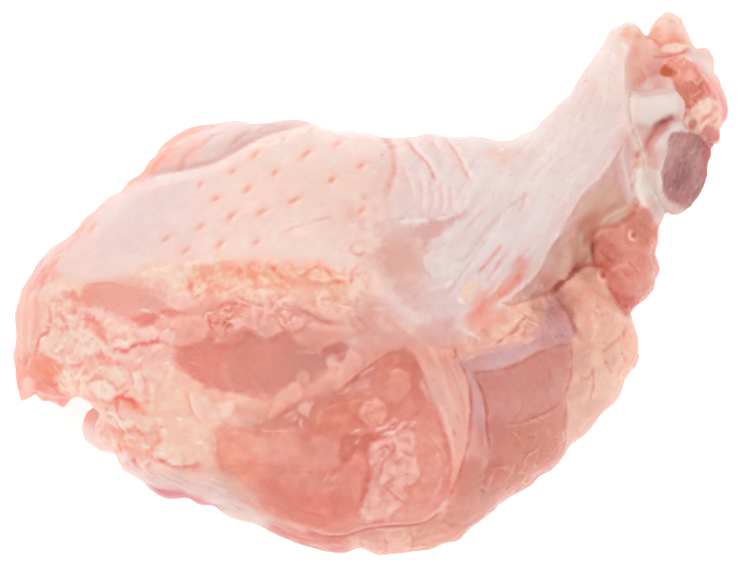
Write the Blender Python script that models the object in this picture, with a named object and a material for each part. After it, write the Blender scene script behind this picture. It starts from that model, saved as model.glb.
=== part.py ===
"""A raw chicken drumette: one piece of flesh with its skin on, and the bone that runs through it.

The masses are laid out in millimetres on a board: X to the right, Y away, Z up, board at Z = 0.
The shown side faces up and a little to the front, so features of the surface are placed in the face plane,
which is the board leaned back by LEAN: u runs right and v runs up that plane.
The finished piece is turned about Z so that its bone lies along +X, and is scaled to metres.
"""

import math

import bmesh
import bpy
import numpy as np
from mathutils import Euler, Matrix, Vector

MM = 0.001
LEAN = math.radians(15)  # the face plane leans this far towards the front

# The bone: places of its ends on the board, and its radii
SHOULDER_END = Vector((-30.9, -19.6, 8.5))
ELBOW_END = Vector((32.2, 14.4, 11.5))
HEAD_RADIUS = 4.4
SHAFT_RADIUS = 3.1
ELBOW_RADIUS = 3.9
BONE_GAP = 0.4  # room all round it in the flesh

# The elbow's two knobs, and the flat cut through the larger one
KNOB_CENTRE = Vector((36.3, 11.6, 11.5))
KNOB_SIZES = (4.2, 5.3, 5.0)
CUT_FACING = Vector((0.68, -0.33, 0.66))
CUT_BEYOND_CENTRE = 1.3
BARREL = ((30.2, 17.9, 14.6), (34.9, 18.2, 15.2))
BARREL_RADIUS = 2.5

# Flesh lower than this lies flat on the board
REST_BAND = 0.06

# Fineness: edge lengths of the fused surfaces, and triangles kept
FLESH_VOXEL = 0.9
BONE_VOXEL = 0.7
FLESH_TRIANGLES = 9600
BONE_TRIANGLES = 1500

# Masses of the flesh: centre, half-sizes, and turn about Z in degrees
MASSES = {
    "core": ((-9.1, -9.4, 12.5), (28.8, 22.5, 14), 12),
    "skin_dome": ((-11.2, 0.4, 12.5), (22.6, 16.9, 13.5), 0),
    "shoulder_side": ((-31.9, -5.9, 9.5), (11.8, 10.2, 10), 0),
    "fat_corner": ((-17.0, -15.8, 10), (15.0, 11.4, 10.8), 0),
    "under_muscle": ((-1, -22.1, 11.5), (19, 13.9, 12), 0),
    "outer_muscle": ((12.2, -15.4, 10.5), (12.6, 14.3, 11.5), 0),
    "outer_corner": ((21.6, -16.1, 8.5), (5.6, 5.6, 9), 0),
    "outer_fat": ((25.1, -10.2, 8.5), (6.6, 7.6, 9), 0),
    "outer_valley": ((23.4, -2.6, 8.5), (6.5, 6.5, 7), 0),
    "joint_meat": ((29.8, 1.2, 8.5), (4.8, 5.8, 6.5), 0),
    "left_roll": ((-28.6, 4.2, 9), (5.8, 5.6, 8.5), 0),
    "side_low": ((-39.2, -10.2, 7), (4.3, 6.2, 6.2), 0),
    "back_lobe": ((-18.4, 12.5, 8), (9.4, 6.0, 7.5), 8),
    "flap": ((-38.4, -13.8, 5), (2.6, 2.2, 3.4), 0),
    "flap_tip": ((-42.1, -12.4, 5), (1.6, 3.2, 3.2), 0),
}
# The neck: balls along the wrapped elbow end, (place, radius, share of the radius that it is high)
NECK = (
    ((2.9, 4.2, 12), 10.9, 1.0),
    ((9.5, 3.2, 12), 11.8, 1.0),
    ((18.7, 5.5, 12), 8.6, 1.1),
    ((26.3, 12.1, 11.5), 8.2, 1.1),
)
SHEATH_MASSES = {
    "sheath": ((27.6, 19.6, 11.5), (4.2, 7.4, 8.2), -20),
    "sheath_rim": ((30.1, 25.0, 11.5), (3.4, 4.9, 6.0), -20),
}
# What shows of the flesh inside the open end of the skin
END_MASSES = {
    "joint_base": ((34.2, 18.4, 7.6), (6.2, 8.4, 5.6), 0),
    "joint_under": ((29.2, 8.8, 8.8), (6.0, 6.8, 6.0), 0),
    "cut_muscle": ((37.0, 22.2, 12.0), (3.0, 3.6, 3.8), 20),
    "end_fat": ((38.8, 18.0, 12.8), (2.4, 2.6, 2.8), 0),
    "skin_lip": ((40.0, 20.4, 10.5), (2.4, 5.4, 4.4), 12),
    "end_lobe": ((38.7, 25.0, 9.5), (2.7, 3.0, 2.8), 0),
    "end_nub": ((35.6, 28.1, 10.5), (2.4, 3.7, 2.7), 0),
}

# The notch at the lower left, where the end of the bone looks out: centre, half-sizes, turn about Z
HEAD_NOTCH = ((-35.8, -20.0, 8.0), (4.2, 4.4, 9.0), 0)

# Dents: (outline on the face plane, depth, width of the sloping edge)
DENTS = {
    "beyond_sheath": (
        ((31.0, 29.0), (30.7, 18.8), (28.8, 15.9), (26.4, 13.0), (23.9, 10.1), (22.4, 6.2), (20.6, 2.9),
         (24.5, 1.4), (29.3, 2.9), (34.1, 6.2), (37.7, 8.7), (42.0, 12.8), (44.0, 20.0), (42.3, 26.8), (37.7, 33.5)),
        1.6, 0.8,
    ),
    "small_window": (
        ((-35.0, -1.6), (-33.5, -0.5), (-30.7, -0.1), (-27.7, -0.5), (-25.0, -2.0), (-24.0, -3.3), (-25.9, -4.0),
         (-29.5, -4.0), (-33.1, -3.5)),
        1.0, 1.0,
    ),
    "large_window": (
        ((-23.4, -8.3), (-20.5, -6.4), (-16.3, -5.6), (-11.5, -5.3), (-8.8, -6.8), (-4.8, -6.7), (-3.2, -7.4),
         (-4.9, -9.3), (-7.0, -11.3), (-12.7, -13.5), (-16.3, -12.9), (-20.2, -11.0)),
        1.5, 1.6,
    ),
}
# Lines along the surface: (path on the face plane, half-width, height; a crease is below 0)
LINES = {
    "tendon_band": (((3.4, -4.6), (5.9, -7.6), (8.0, -11.2), (9.5, -15.4), (9.7, -19.6), (8.9, -23.9)), 1.7, 1.1),
    "band_crease": (((11.0, -10.0), (12.2, -13.0), (13.0, -16.0), (13.1, -19.6), (12.7, -24.2)), 0.9, -0.9),
    "fascia_band": (((9.8, -8.0), (13.7, -7.4), (17.9, -6.0), (23.5, -4.7)), 1.3, 0.8),
    "fat_groove": (((20.0, -2.6), (23.9, -0.4), (25.9, 1.7), (27.2, 4.4)), 0.9, -1.5),
    "meat_crease": (((26.5, 6.3), (25.9, 2.9), (27.7, -0.2), (31.2, -3.6)), 0.8, -1.1),
    "oval_top": (((-19.1, -18.4), (-16.0, -16.4), (-8.5, -16.7), (-3.7, -11.8), (2.8, -7.9)), 0.8, -0.7),
    "oval_right": (((2.8, -7.9), (5.3, -11.8), (7.4, -15.4), (8.0, -21.2), (5.5, -26.5), (-4.3, -29.0)), 0.7, -0.6),
    "lobe_ridge": (((-28.7, 13.0), (-23.3, 14.1), (-19.2, 15.3), (-16.3, 17.0), (-10.6, 19.3)), 0.9, -1.3),
    "cut_edge_of_skin": (((-34.4, 0.9), (-29.0, 1.6), (-22.1, 3.2), (-16.3, 3.4), (-9.2, 2.8), (-2.8, 0.6)), 1.5, 0.6),
}


def clear_scene():
    for thing in list(bpy.data.objects):
        bpy.data.objects.remove(thing)


def material(name, colour, roughness):
    """A Principled material of one colour."""
    made = bpy.data.materials.new(name)
    made.use_nodes = True
    shader = made.node_tree.nodes["Principled BSDF"]
    shader.inputs["Base Color"].default_value = (*colour, 1)
    shader.inputs["Roughness"].default_value = roughness
    return made


def add_ball(body, centre, half_sizes, turn=0.0):
    """Adds an ellipsoid to a bmesh, turned about Z by so many degrees."""
    place = Matrix.LocRotScale(Vector(centre), Euler((0, 0, math.radians(turn))), Vector(half_sizes))
    bmesh.ops.create_icosphere(body, subdivisions=4, radius=1, matrix=place)


def add_masses(body, masses):
    for centre, half_sizes, turn in masses.values():
        add_ball(body, centre, half_sizes, turn)


def add_limb(body, stations, steps=8):
    """Adds balls in a close row from station to station: (place, radius, height share)."""
    for (start, r0, h0), (end, r1, h1) in zip(stations, stations[1:]):
        for step in range(steps + 1):
            t = step / steps
            centre = Vector(start).lerp(Vector(end), t)
            radius = r0 + (r1 - r0) * t
            height = radius * (h0 + (h1 - h0) * t)
            add_ball(body, centre, (radius, radius, height))


def evaluated(name, mesh, modify):
    """The mesh as it is after the modifiers that modify(object) adds."""
    holder = bpy.data.objects.new(name, mesh)
    bpy.context.scene.collection.objects.link(holder)
    modify(holder)
    graph = bpy.context.evaluated_depsgraph_get()
    made = bpy.data.meshes.new_from_object(holder.evaluated_get(graph))
    made.name = name
    bpy.data.objects.remove(holder)
    return made


def mesh_of(name, body):
    made = bpy.data.meshes.new(name)
    body.to_mesh(made)
    body.free()
    return made


def fused(name, body, voxel, smoothing):
    """The bmesh's overlapping masses fused into one closed skin and smoothed, as a mesh."""

    def fuse(holder):
        remesh = holder.modifiers.new("fuse", "REMESH")
        remesh.mode = "VOXEL"
        remesh.voxel_size = voxel
        smooth = holder.modifiers.new("soften", "SMOOTH")
        smooth.factor = 0.5
        smooth.iterations = smoothing

    return evaluated(name, mesh_of(name, body), fuse)


def thinned(mesh, triangles):
    """The mesh with about so many triangles."""
    mesh.calc_loop_triangles()
    share = min(1.0, triangles / len(mesh.loop_triangles))

    def thin(holder):
        holder.modifiers.new("thin", "DECIMATE").ratio = share

    return evaluated(mesh.name, mesh, thin)


def without(mesh, tool):
    """The mesh with the tool's room cut out of it, and only its largest body kept."""
    cutter = bpy.data.objects.new("cutter", tool)
    bpy.context.scene.collection.objects.link(cutter)

    def cut(holder):
        boolean = holder.modifiers.new("cut", "BOOLEAN")
        boolean.operation = "DIFFERENCE"
        boolean.solver = "EXACT"
        boolean.object = cutter

    made = evaluated(mesh.name, mesh, cut)
    bpy.data.objects.remove(cutter)
    keep_largest(made)
    return made


def keep_largest(mesh):
    """Removes every body of the mesh but the one of most vertices."""
    body = bmesh.new()
    body.from_mesh(mesh)
    unseen = set(body.verts)
    bodies = []
    while unseen:
        found = {unseen.pop()}
        front = list(found)
        while front:
            vertex = front.pop()
            for edge in vertex.link_edges:
                other = edge.other_vert(vertex)
                if other in unseen:
                    unseen.remove(other)
                    found.add(other)
                    front.append(other)
        bodies.append(found)
    bodies.sort(key=len)
    extra = [vertex for found in bodies[:-1] for vertex in found]
    bmesh.ops.delete(body, geom=extra, context="VERTS")
    bmesh.ops.triangulate(body, faces=body.faces)
    body.to_mesh(mesh)
    body.free()


def grown(mesh, distance):
    """A copy of the mesh with its surface moved outwards."""
    made = mesh.copy()
    for vertex, source in zip(made.vertices, mesh.vertices):
        vertex.co = source.co + source.normal * distance
    return made


def smooth_path(corners, closed=False, steps=6):
    """A Catmull-Rom curve through the corners, as an array of points."""
    corners = np.array(corners, float)
    if closed:
        padded = np.concatenate([corners[-1:], corners, corners[:2]])
    else:
        padded = np.concatenate([2 * corners[:1] - corners[1:2], corners, 2 * corners[-1:] - corners[-2:-1]])
    t = np.linspace(0, 1, steps, endpoint=False)[:, None]
    runs = []
    for a, b, c, d in zip(padded, padded[1:], padded[2:], padded[3:]):
        runs.append(0.5 * (2 * b + (c - a) * t + (2 * a - 5 * b + 4 * c - d) * t**2 + (3 * b - a - 3 * c + d) * t**3))
    end = runs[0][:1] if closed else corners[-1:]
    return np.concatenate([*runs, end])


def distance_to(path, points):
    """Each point's distance to a path on the face plane."""
    nearest = np.full(len(points), np.inf)
    for start, end in zip(path, path[1:]):
        along = end - start
        share = np.clip((points - start) @ along / max(along @ along, 1e-12), 0, 1)
        nearest = np.minimum(nearest, np.linalg.norm(points - start - share[:, None] * along, axis=1))
    return nearest


def inside(path, points):
    """Whether each point is inside a closed path."""
    found = np.zeros(len(points), bool)
    for (x0, y0), (x1, y1) in zip(path, path[1:]):
        crosses = (y0 > points[:, 1]) != (y1 > points[:, 1])
        if y0 != y1:
            found ^= crosses & (points[:, 0] < x0 + (points[:, 1] - y0) * (x1 - x0) / (y1 - y0))
    return found


def eased(share):
    share = np.clip(share, 0, 1)
    return share * share * (3 - 2 * share)


def carve(mesh, dents, lines):
    """Moves the surface that faces the face plane by the dents and lines."""
    count = len(mesh.vertices)
    points = np.empty(count * 3)
    normals = np.empty(count * 3)
    mesh.vertices.foreach_get("co", points)
    mesh.vertices.foreach_get("normal", normals)
    points = points.reshape(-1, 3)
    normals = normals.reshape(-1, 3)
    on_face = np.stack([points[:, 0], points[:, 1] * math.cos(LEAN) + points[:, 2] * math.sin(LEAN)], 1)
    facing = normals @ np.array([0, -math.sin(LEAN), math.cos(LEAN)])
    height = np.zeros(count)
    for outline, depth, edge in dents.values():
        path = smooth_path(outline, closed=True)
        signed = np.where(inside(path, on_face), 1, -1) * distance_to(path, on_face)
        height -= depth * eased(0.5 + signed / edge)
    for line, width, rise in lines.values():
        height += rise * np.exp(-((distance_to(smooth_path(line), on_face) / width) ** 2))
    points += normals * (height * eased(facing * 2))[:, None]
    mesh.vertices.foreach_set("co", points.ravel())
    mesh.update()


def rest_on_board(mesh):
    """Flattens what would sink into the board, as soft meat does where it rests."""
    for vertex in mesh.vertices:
        if vertex.co.z < REST_BAND:
            vertex.co.z = 0.0


def flesh_mesh():
    body = bmesh.new()
    add_masses(body, MASSES)
    add_masses(body, SHEATH_MASSES)
    add_limb(body, NECK)
    mesh = fused("flesh", body, FLESH_VOXEL, smoothing=5)
    carve(mesh, DENTS, LINES)
    body = bmesh.new()
    add_ball(body, *HEAD_NOTCH)
    mesh = without(mesh, mesh_of("notch", body))
    body = bmesh.new()
    body.from_mesh(mesh)
    add_masses(body, END_MASSES)
    mesh = fused("flesh", body, FLESH_VOXEL, smoothing=2)
    rest_on_board(mesh)
    mesh = thinned(mesh, FLESH_TRIANGLES)
    rest_on_board(mesh)
    return mesh


def bone_mesh():
    body = bmesh.new()
    along = ELBOW_END - SHOULDER_END
    stations = (
        (SHOULDER_END, HEAD_RADIUS, 1),
        (SHOULDER_END + along * 0.15, SHAFT_RADIUS * 1.1, 1),
        (SHOULDER_END + along * 0.5, SHAFT_RADIUS, 1),
        (SHOULDER_END + along * 0.85, SHAFT_RADIUS, 1),
        (ELBOW_END, ELBOW_RADIUS, 1),
    )
    add_limb(body, stations)
    add_limb(body, [(place, BARREL_RADIUS, 1) for place in BARREL])
    add_ball(body, KNOB_CENTRE, KNOB_SIZES)
    mesh = fused("bone", body, BONE_VOXEL, smoothing=3)
    cut_flat(mesh, KNOB_CENTRE + CUT_FACING.normalized() * CUT_BEYOND_CENTRE, CUT_FACING)
    return thinned(mesh, BONE_TRIANGLES)


def cut_flat(mesh, place, facing):
    """Cuts away what is beyond a plane and closes the cut with one face."""
    body = bmesh.new()
    body.from_mesh(mesh)
    geometry = [*body.verts, *body.edges, *body.faces]
    cut = bmesh.ops.bisect_plane(body, geom=geometry, plane_co=place, plane_no=facing, clear_outer=True)
    rim = [piece for piece in cut["geom_cut"] if isinstance(piece, bmesh.types.BMEdge)]
    bmesh.ops.contextual_create(body, geom=rim)
    bmesh.ops.triangulate(body, faces=body.faces)
    body.to_mesh(mesh)
    body.free()


def placement(*meshes):
    """Turns the bone to lie along +X, centres the whole over the origin on the board, and scales to metres."""
    along = ELBOW_END - SHOULDER_END
    turn = Matrix.Rotation(-math.atan2(along.y, along.x), 4, "Z")
    places = np.array([turn @ vertex.co for mesh in meshes for vertex in mesh.vertices])
    lowest = places.min(axis=0)
    middle = (lowest + places.max(axis=0)) / 2
    return Matrix.Scale(MM, 4) @ Matrix.Translation((-middle[0], -middle[1], -lowest[2])) @ turn


def add_node(name, mesh, finish):
    made = bpy.data.objects.new(name, mesh)
    bpy.context.scene.collection.objects.link(made)
    mesh.materials.clear()
    mesh.materials.append(finish)
    mesh.shade_smooth()
    return made


def main():
    clear_scene()
    bone = bone_mesh()
    flesh = without(flesh_mesh(), grown(bone, BONE_GAP))
    place = placement(flesh, bone)
    for mesh in (flesh, bone):
        mesh.transform(place)
    add_node("flesh", flesh, material("flesh", (0.86, 0.58, 0.52), 0.4))
    add_node("bone", bone, material("bone", (0.85, 0.74, 0.68), 0.35))


main()
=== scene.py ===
"""The looks of a raw chicken drumette: skin, fat and meat over the bone that runs through it.

Surfaces are worked on in the face frame, in millimetres: u to the right and v up in the view from the
camera, and w towards it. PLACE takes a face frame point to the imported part's frame.
"""
import itertools
import math

import bmesh
import bpy
import numpy as np
from mathutils import Matrix, Vector
from mathutils.bvhtree import BVHTree


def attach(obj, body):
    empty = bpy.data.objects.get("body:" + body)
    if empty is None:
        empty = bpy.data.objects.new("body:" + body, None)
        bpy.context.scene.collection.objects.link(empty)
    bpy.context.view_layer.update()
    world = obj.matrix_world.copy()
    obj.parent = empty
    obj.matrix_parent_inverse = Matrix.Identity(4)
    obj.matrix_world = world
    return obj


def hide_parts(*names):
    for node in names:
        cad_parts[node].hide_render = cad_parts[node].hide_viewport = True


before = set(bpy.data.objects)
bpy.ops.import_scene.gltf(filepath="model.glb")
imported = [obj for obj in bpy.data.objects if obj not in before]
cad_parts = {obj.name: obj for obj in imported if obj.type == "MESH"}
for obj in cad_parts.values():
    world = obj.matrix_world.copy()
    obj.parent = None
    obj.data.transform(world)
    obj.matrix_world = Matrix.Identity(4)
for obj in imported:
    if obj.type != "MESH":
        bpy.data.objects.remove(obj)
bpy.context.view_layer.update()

# the bone's ends before the part is turned to lie along it, and how the part lies in the frame
MM = 0.001
BONE_START = Vector((-30.9, -19.6, 8.5))
BONE_END = Vector((32.2, 14.4, 11.5))
BONE_TURN = math.atan2(34.0, 63.1)
SHIFT = Vector((-1.8957, 3.9586, 0))
LEAN = math.radians(15)
PLACE = (
    Matrix.Scale(MM, 4)
    @ Matrix.Translation(SHIFT)
    @ Matrix.Rotation(-BONE_TURN, 4, "Z")
    @ Matrix.Rotation(LEAN, 4, "X")
)

# the photograph: its middle in pixels, the size of a pixel, and how the camera sees it, in millimetres
MIDDLE_X = 376
MIDDLE_Y = 286.5
PIXEL = 0.12
FRAME_WIDTH = 90.24
CAMERA_DISTANCE = 800
AIM_DEPTH = 12
SENSOR = 36

# the meshes, in millimetres; the plug in the tunnel also goes by shares of the bone's length
FLESH_GRID = 0.84
BONE_GRID = 0.32
PLUG_RADIUS = 4.2
PLUG_FROM = 0.09
PLUG_TO = 0.88
BONE_INSET = 0.08
LOWEST = 0.01
SPLIT_PAST = (-0.2, -0.12)
RELIEF_SHARE = 0.6
MOST_TRIANGLES = 192000

# the surface's first colours, how the others are laid over them, and how deep the painted shade in pits and
# how bright the painted light on bumps may go
SKIN_TONE = (243, 213, 202)
MEAT_TONE = (243, 190, 174)
BONE_TONE = (238, 222, 213)
FINE_GRAIN = 0.03
LIMB_FADE = 0.3
PLAIN_ROUGHNESS = 0.42
DEEPEST_PIT_SHADE = 0.24
BRIGHTEST_BUMP_LIGHT = -0.1
FULL_DETAIL = 0.12


def px(numbers):
    """Places on the photograph, as x, y, x, y and so on in its pixels, on the face."""
    return [((x - MIDDLE_X) * PIXEL, (MIDDLE_Y - y) * PIXEL) for x, y in zip(numbers[::2], numbers[1::2])]


# ---------------------------------------------------------------- noise

def hashed(cell, seed):
    """A number in 0..1 for each whole-numbered cell."""
    mixed = cell[:, 0] * 73856093 ^ cell[:, 1] * 19349663 ^ cell[:, 2] * 83492791 ^ (seed * 2654435761 + 97)
    mixed = (mixed ^ (mixed >> 13)) * 1274126177 & 0x7FFFFFFF
    mixed = (mixed ^ (mixed >> 16)) * 668265263 & 0x7FFFFFFF
    return (mixed >> 7 & 0xFFFF) / 65535.0


def smooth_noise(points, size, seed):
    """Smooth noise in -1..1 with features of about the given size."""
    grid = points / size
    cell = np.floor(grid).astype(np.int64)
    share = grid - cell
    share = share**3 * (share * (share * 6 - 15) + 10)
    total = np.zeros(len(points))
    for corner in itertools.product((0, 1), repeat=3):
        weight = np.prod(np.where(corner, share, 1 - share), axis=1)
        total += weight * hashed(cell + np.array(corner), seed)
    return total * 2 - 1


def rough_noise(points, size, octaves, seed):
    """Layers of smooth noise, each half as large and half as strong."""
    total = sum(smooth_noise(points, size / 2**i, seed + 31 * i) / 2**i for i in range(octaves))
    return total / 1.4


# ---------------------------------------------------------------- paths on the face

def eased(share):
    """From 0 to 1 with soft ends."""
    share = np.clip(share, 0, 1)
    return share * share * (3 - 2 * share)


def soft(deep, fade):
    """The share of an area at a depth inside its edge, eased over the fade on both sides of the edge."""
    return eased(0.5 + deep / (2 * fade))


def turned(points, degrees):
    return points @ np.array(Matrix.Rotation(math.radians(degrees), 3, "Z"))


def smooth_path(corners, closed=False, steps=4):
    """A curve through the corners."""
    corners = np.array(corners, float)
    if closed:
        padded = np.concatenate([corners[-1:], corners, corners[:2]])
    else:
        padded = np.concatenate([2 * corners[:1] - corners[1:2], corners, 2 * corners[-1:] - corners[-2:-1]])
    t = np.linspace(0, 1, steps, endpoint=False)[:, None]
    runs = []
    for a, b, c, d in zip(padded, padded[1:], padded[2:], padded[3:]):
        bend = (2 * a - 5 * b + 4 * c - d) * t**2
        twist = (3 * b - a - 3 * c + d) * t**3
        runs.append(0.5 * (2 * b + (c - a) * t + bend + twist))
    end = runs[0][:1] if closed else corners[-1:]
    return np.concatenate([*runs, end])


def distance_to(path, points):
    """How far each point is from a path."""
    nearest = np.full(len(points), np.inf)
    for start, end in zip(path, path[1:]):
        along = end - start
        share = np.clip((points - start) @ along / max(along @ along, 1e-12), 0, 1)
        nearest = np.minimum(nearest, ((points - start - share[:, None] * along) ** 2).sum(1))
    return np.sqrt(nearest)


def along_path(path, points):
    """How far along a path each point is, and how far to its side."""
    best = np.full(len(points), np.inf)
    along = np.zeros(len(points))
    across = np.zeros(len(points))
    start_at = 0.0
    for start, end in zip(path, path[1:]):
        step = end - start
        length = max(np.linalg.norm(step), 1e-9)
        way = step / length
        off = points - start
        share = np.clip(off @ way, 0, length)
        gap = ((off - share[:, None] * way) ** 2).sum(1)
        closer = gap < best
        best[closer] = gap[closer]
        along[closer] = start_at + share[closer]
        side = np.sign(off[closer] @ np.array([-way[1], way[0]]))
        across[closer] = side * np.sqrt(gap[closer])
        start_at += length
    return along, across


def inside(path, points):
    """Which points a closed path surrounds."""
    found = np.zeros(len(points), bool)
    for (x0, y0), (x1, y1) in zip(path, path[1:]):
        if y0 != y1:
            crosses = (y0 > points[:, 1]) != (y1 > points[:, 1])
            found ^= crosses & (points[:, 0] < x0 + (points[:, 1] - y0) * (x1 - x0) / (y1 - y0))
    return found


def linear(colour):
    """A linear colour from 0..255 values as seen."""
    c = np.array(colour, float) / 255
    return ((c + 0.055) / 1.055) ** 2.4


# ---------------------------------------------------------------- meshes

def numbers(mesh, what):
    """The points of a mesh, as co, or their normals, as normal."""
    found = np.empty(len(mesh.vertices) * 3)
    if what == "normal":
        mesh.vertex_normals.foreach_get("vector", found)
    else:
        mesh.vertices.foreach_get(what, found)
    return found.reshape(-1, 3)


def set_points(mesh, points):
    mesh.vertices.foreach_set("co", points.ravel())
    mesh.update()


def edge_ends(mesh):
    ends = np.empty(len(mesh.edges) * 2, np.int64)
    mesh.edges.foreach_get("vertices", ends)
    return ends.reshape(-1, 2)


def neighbour_sum(values, ends):
    """The sum of the values at each point's neighbours."""
    total = np.bincount(ends[:, 0], values[ends[:, 1]], len(values))
    total += np.bincount(ends[:, 1], values[ends[:, 0]], len(values))
    return total


def relaxed(points, ends, rounds, pull=0.5, push=-0.52):
    """Points smoothed over the mesh's edges without shrinking."""
    count = np.bincount(ends.ravel(), minlength=len(points))
    for amount in (pull, push) * rounds:
        moved = np.empty_like(points)
        for axis in range(points.shape[1]):
            column = points[:, axis]
            moved[:, axis] = column + amount * (neighbour_sum(column, ends) / count - column)
        points = moved
    return points


def relax(mesh, rounds, **amounts):
    set_points(mesh, relaxed(numbers(mesh, "co"), edge_ends(mesh), rounds, **amounts))


def add_object(name, data):
    made = bpy.data.objects.new(name, data)
    bpy.context.scene.collection.objects.link(made)
    return made


def evaluated(holder):
    """The mesh that an object's modifiers make of it; the object is removed."""
    graph = bpy.context.evaluated_depsgraph_get()
    made = bpy.data.meshes.new_from_object(holder.evaluated_get(graph))
    bpy.data.objects.remove(holder)
    return made


def face_copy(node):
    """A CAD node's mesh, welded, in the face frame."""
    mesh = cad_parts[node].data.copy()
    mesh.transform(PLACE.inverted())
    body = bmesh.new()
    body.from_mesh(mesh)
    bmesh.ops.remove_doubles(body, verts=body.verts, dist=1e-3)
    bpy.data.meshes.remove(mesh)
    return body


def add_inset(body, node, depth):
    """Adds a CAD node to the bmesh, its surface moved inwards."""
    extra = face_copy(node)
    extra.normal_update()
    for vertex, normal in [(vertex, vertex.normal.copy()) for vertex in extra.verts]:
        vertex.co -= normal * depth
    holder = bpy.data.meshes.new("inset")
    extra.to_mesh(holder)
    extra.free()
    body.from_mesh(holder)
    bpy.data.meshes.remove(holder)


def pushed(mesh, moves):
    """Slides points across the face: x, y, reach, right and down of each move, in photograph pixels."""
    points = numbers(mesh, "co")
    flat = points[:, :2].copy()
    for x, y, reach, right, down in moves:
        off = flat - np.array(px((x, y))[0])
        share = np.exp(-(off**2).sum(1) / (reach * PIXEL) ** 2)
        points[:, 0] += share * right * PIXEL
        points[:, 1] -= share * down * PIXEL
    set_points(mesh, points)


def add_limb(body, start, end, radius, steps=24):
    """Adds overlapping balls in a row."""
    for step in range(steps + 1):
        place = Matrix.Translation(start.lerp(end, step / steps)) @ Matrix.Scale(radius, 4)
        bmesh.ops.create_icosphere(body, subdivisions=3, radius=1, matrix=place)


def remeshed(name, body, voxel):
    """The bmesh's overlapping bodies fused into one closed surface."""
    rough = bpy.data.meshes.new(name)
    body.to_mesh(rough)
    body.free()
    holder = add_object(name, rough)
    fuse = holder.modifiers.new("fuse", "REMESH")
    fuse.mode = "VOXEL"
    fuse.voxel_size = voxel
    made = evaluated(holder)
    bpy.data.meshes.remove(rough)
    return made


def refined(mesh, least, onto, reach=0.5):
    """Splits the edges of faces whose normal looks at the camera by more than the least share.

    Points that lie within reach of the surface onto are laid on it.
    """
    body = bmesh.new()
    body.from_mesh(mesh)
    chosen = {edge.index: edge for face in body.faces if face.normal.z > least for edge in face.edges}
    bmesh.ops.subdivide_edges(body, edges=list(chosen.values()), cuts=1, use_grid_fill=True)
    for vertex in body.verts:
        spot, _, _, gap = onto.find_nearest(vertex.co)
        if gap < reach:
            vertex.co = spot
    body.to_mesh(mesh)
    body.free()
    relax(mesh, 3)


def above_table(points):
    """Face frame points, with those below the table lifted onto it."""
    up = np.array([0.0, math.sin(LEAN), math.cos(LEAN)])
    return points + np.outer(np.clip(LOWEST - points @ up, 0, None), up)


def unfolded(mesh, rounds=8, least=0.3):
    """Evens out the corners of triangles that lie folded over their neighbours."""
    ends = edge_ends(mesh)
    mesh.calc_loop_triangles()
    corners = np.empty(len(mesh.loop_triangles) * 3, np.int32)
    mesh.loop_triangles.foreach_get("vertices", corners)
    corners = corners.reshape(-1, 3)
    for _ in range(rounds):
        points = numbers(mesh, "co")
        a, b, c = points[corners].transpose(1, 0, 2)
        facing = np.cross(b - a, c - a)
        facing /= np.maximum(np.linalg.norm(facing, axis=1), 1e-12)[:, None]
        around = numbers(mesh, "normal")[corners].mean(1)
        folded = np.unique(corners[(facing * around).sum(1) < least])
        points[folded] = relaxed(points, ends, 1, pull=1.0, push=0.0)[folded]
        set_points(mesh, points)


def thinned(mesh, detail, most, levels=10):
    """Fewer triangles, taken first from where there is little detail."""
    holder = add_object("thinned", mesh)
    group = holder.vertex_groups.new(name="detail")
    for level in range(1, levels + 1):
        chosen = np.flatnonzero(np.ceil(detail * levels) == level)
        group.add(chosen.tolist(), level / levels, "REPLACE")
    count = sum(len(face.vertices) - 2 for face in mesh.polygons)
    fewer = holder.modifiers.new("fewer", "DECIMATE")
    fewer.ratio = min(1.0, most / count)
    fewer.vertex_group = "detail"
    fewer.invert_vertex_group = True
    made = evaluated(holder)
    bpy.data.meshes.remove(mesh)
    relax(made, 2, pull=0.3, push=-0.31)
    unfolded(made)
    set_points(made, above_table(numbers(made, "co")))
    return made


def keep_largest(mesh):
    """Removes all but the largest of a mesh's connected parts."""
    body = bmesh.new()
    body.from_mesh(mesh)
    unseen = set(body.verts)
    bodies = []
    while unseen:
        found = {unseen.pop()}
        front = list(found)
        while front:
            for edge in front.pop().link_edges:
                for other in edge.verts:
                    if other in unseen:
                        unseen.remove(other)
                        found.add(other)
                        front.append(other)
        bodies.append(found)
    bodies.sort(key=len)
    extra = [vertex for found in bodies[:-1] for vertex in found]
    bmesh.ops.delete(body, geom=extra, context="VERTS")
    body.to_mesh(mesh)
    body.free()


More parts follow.
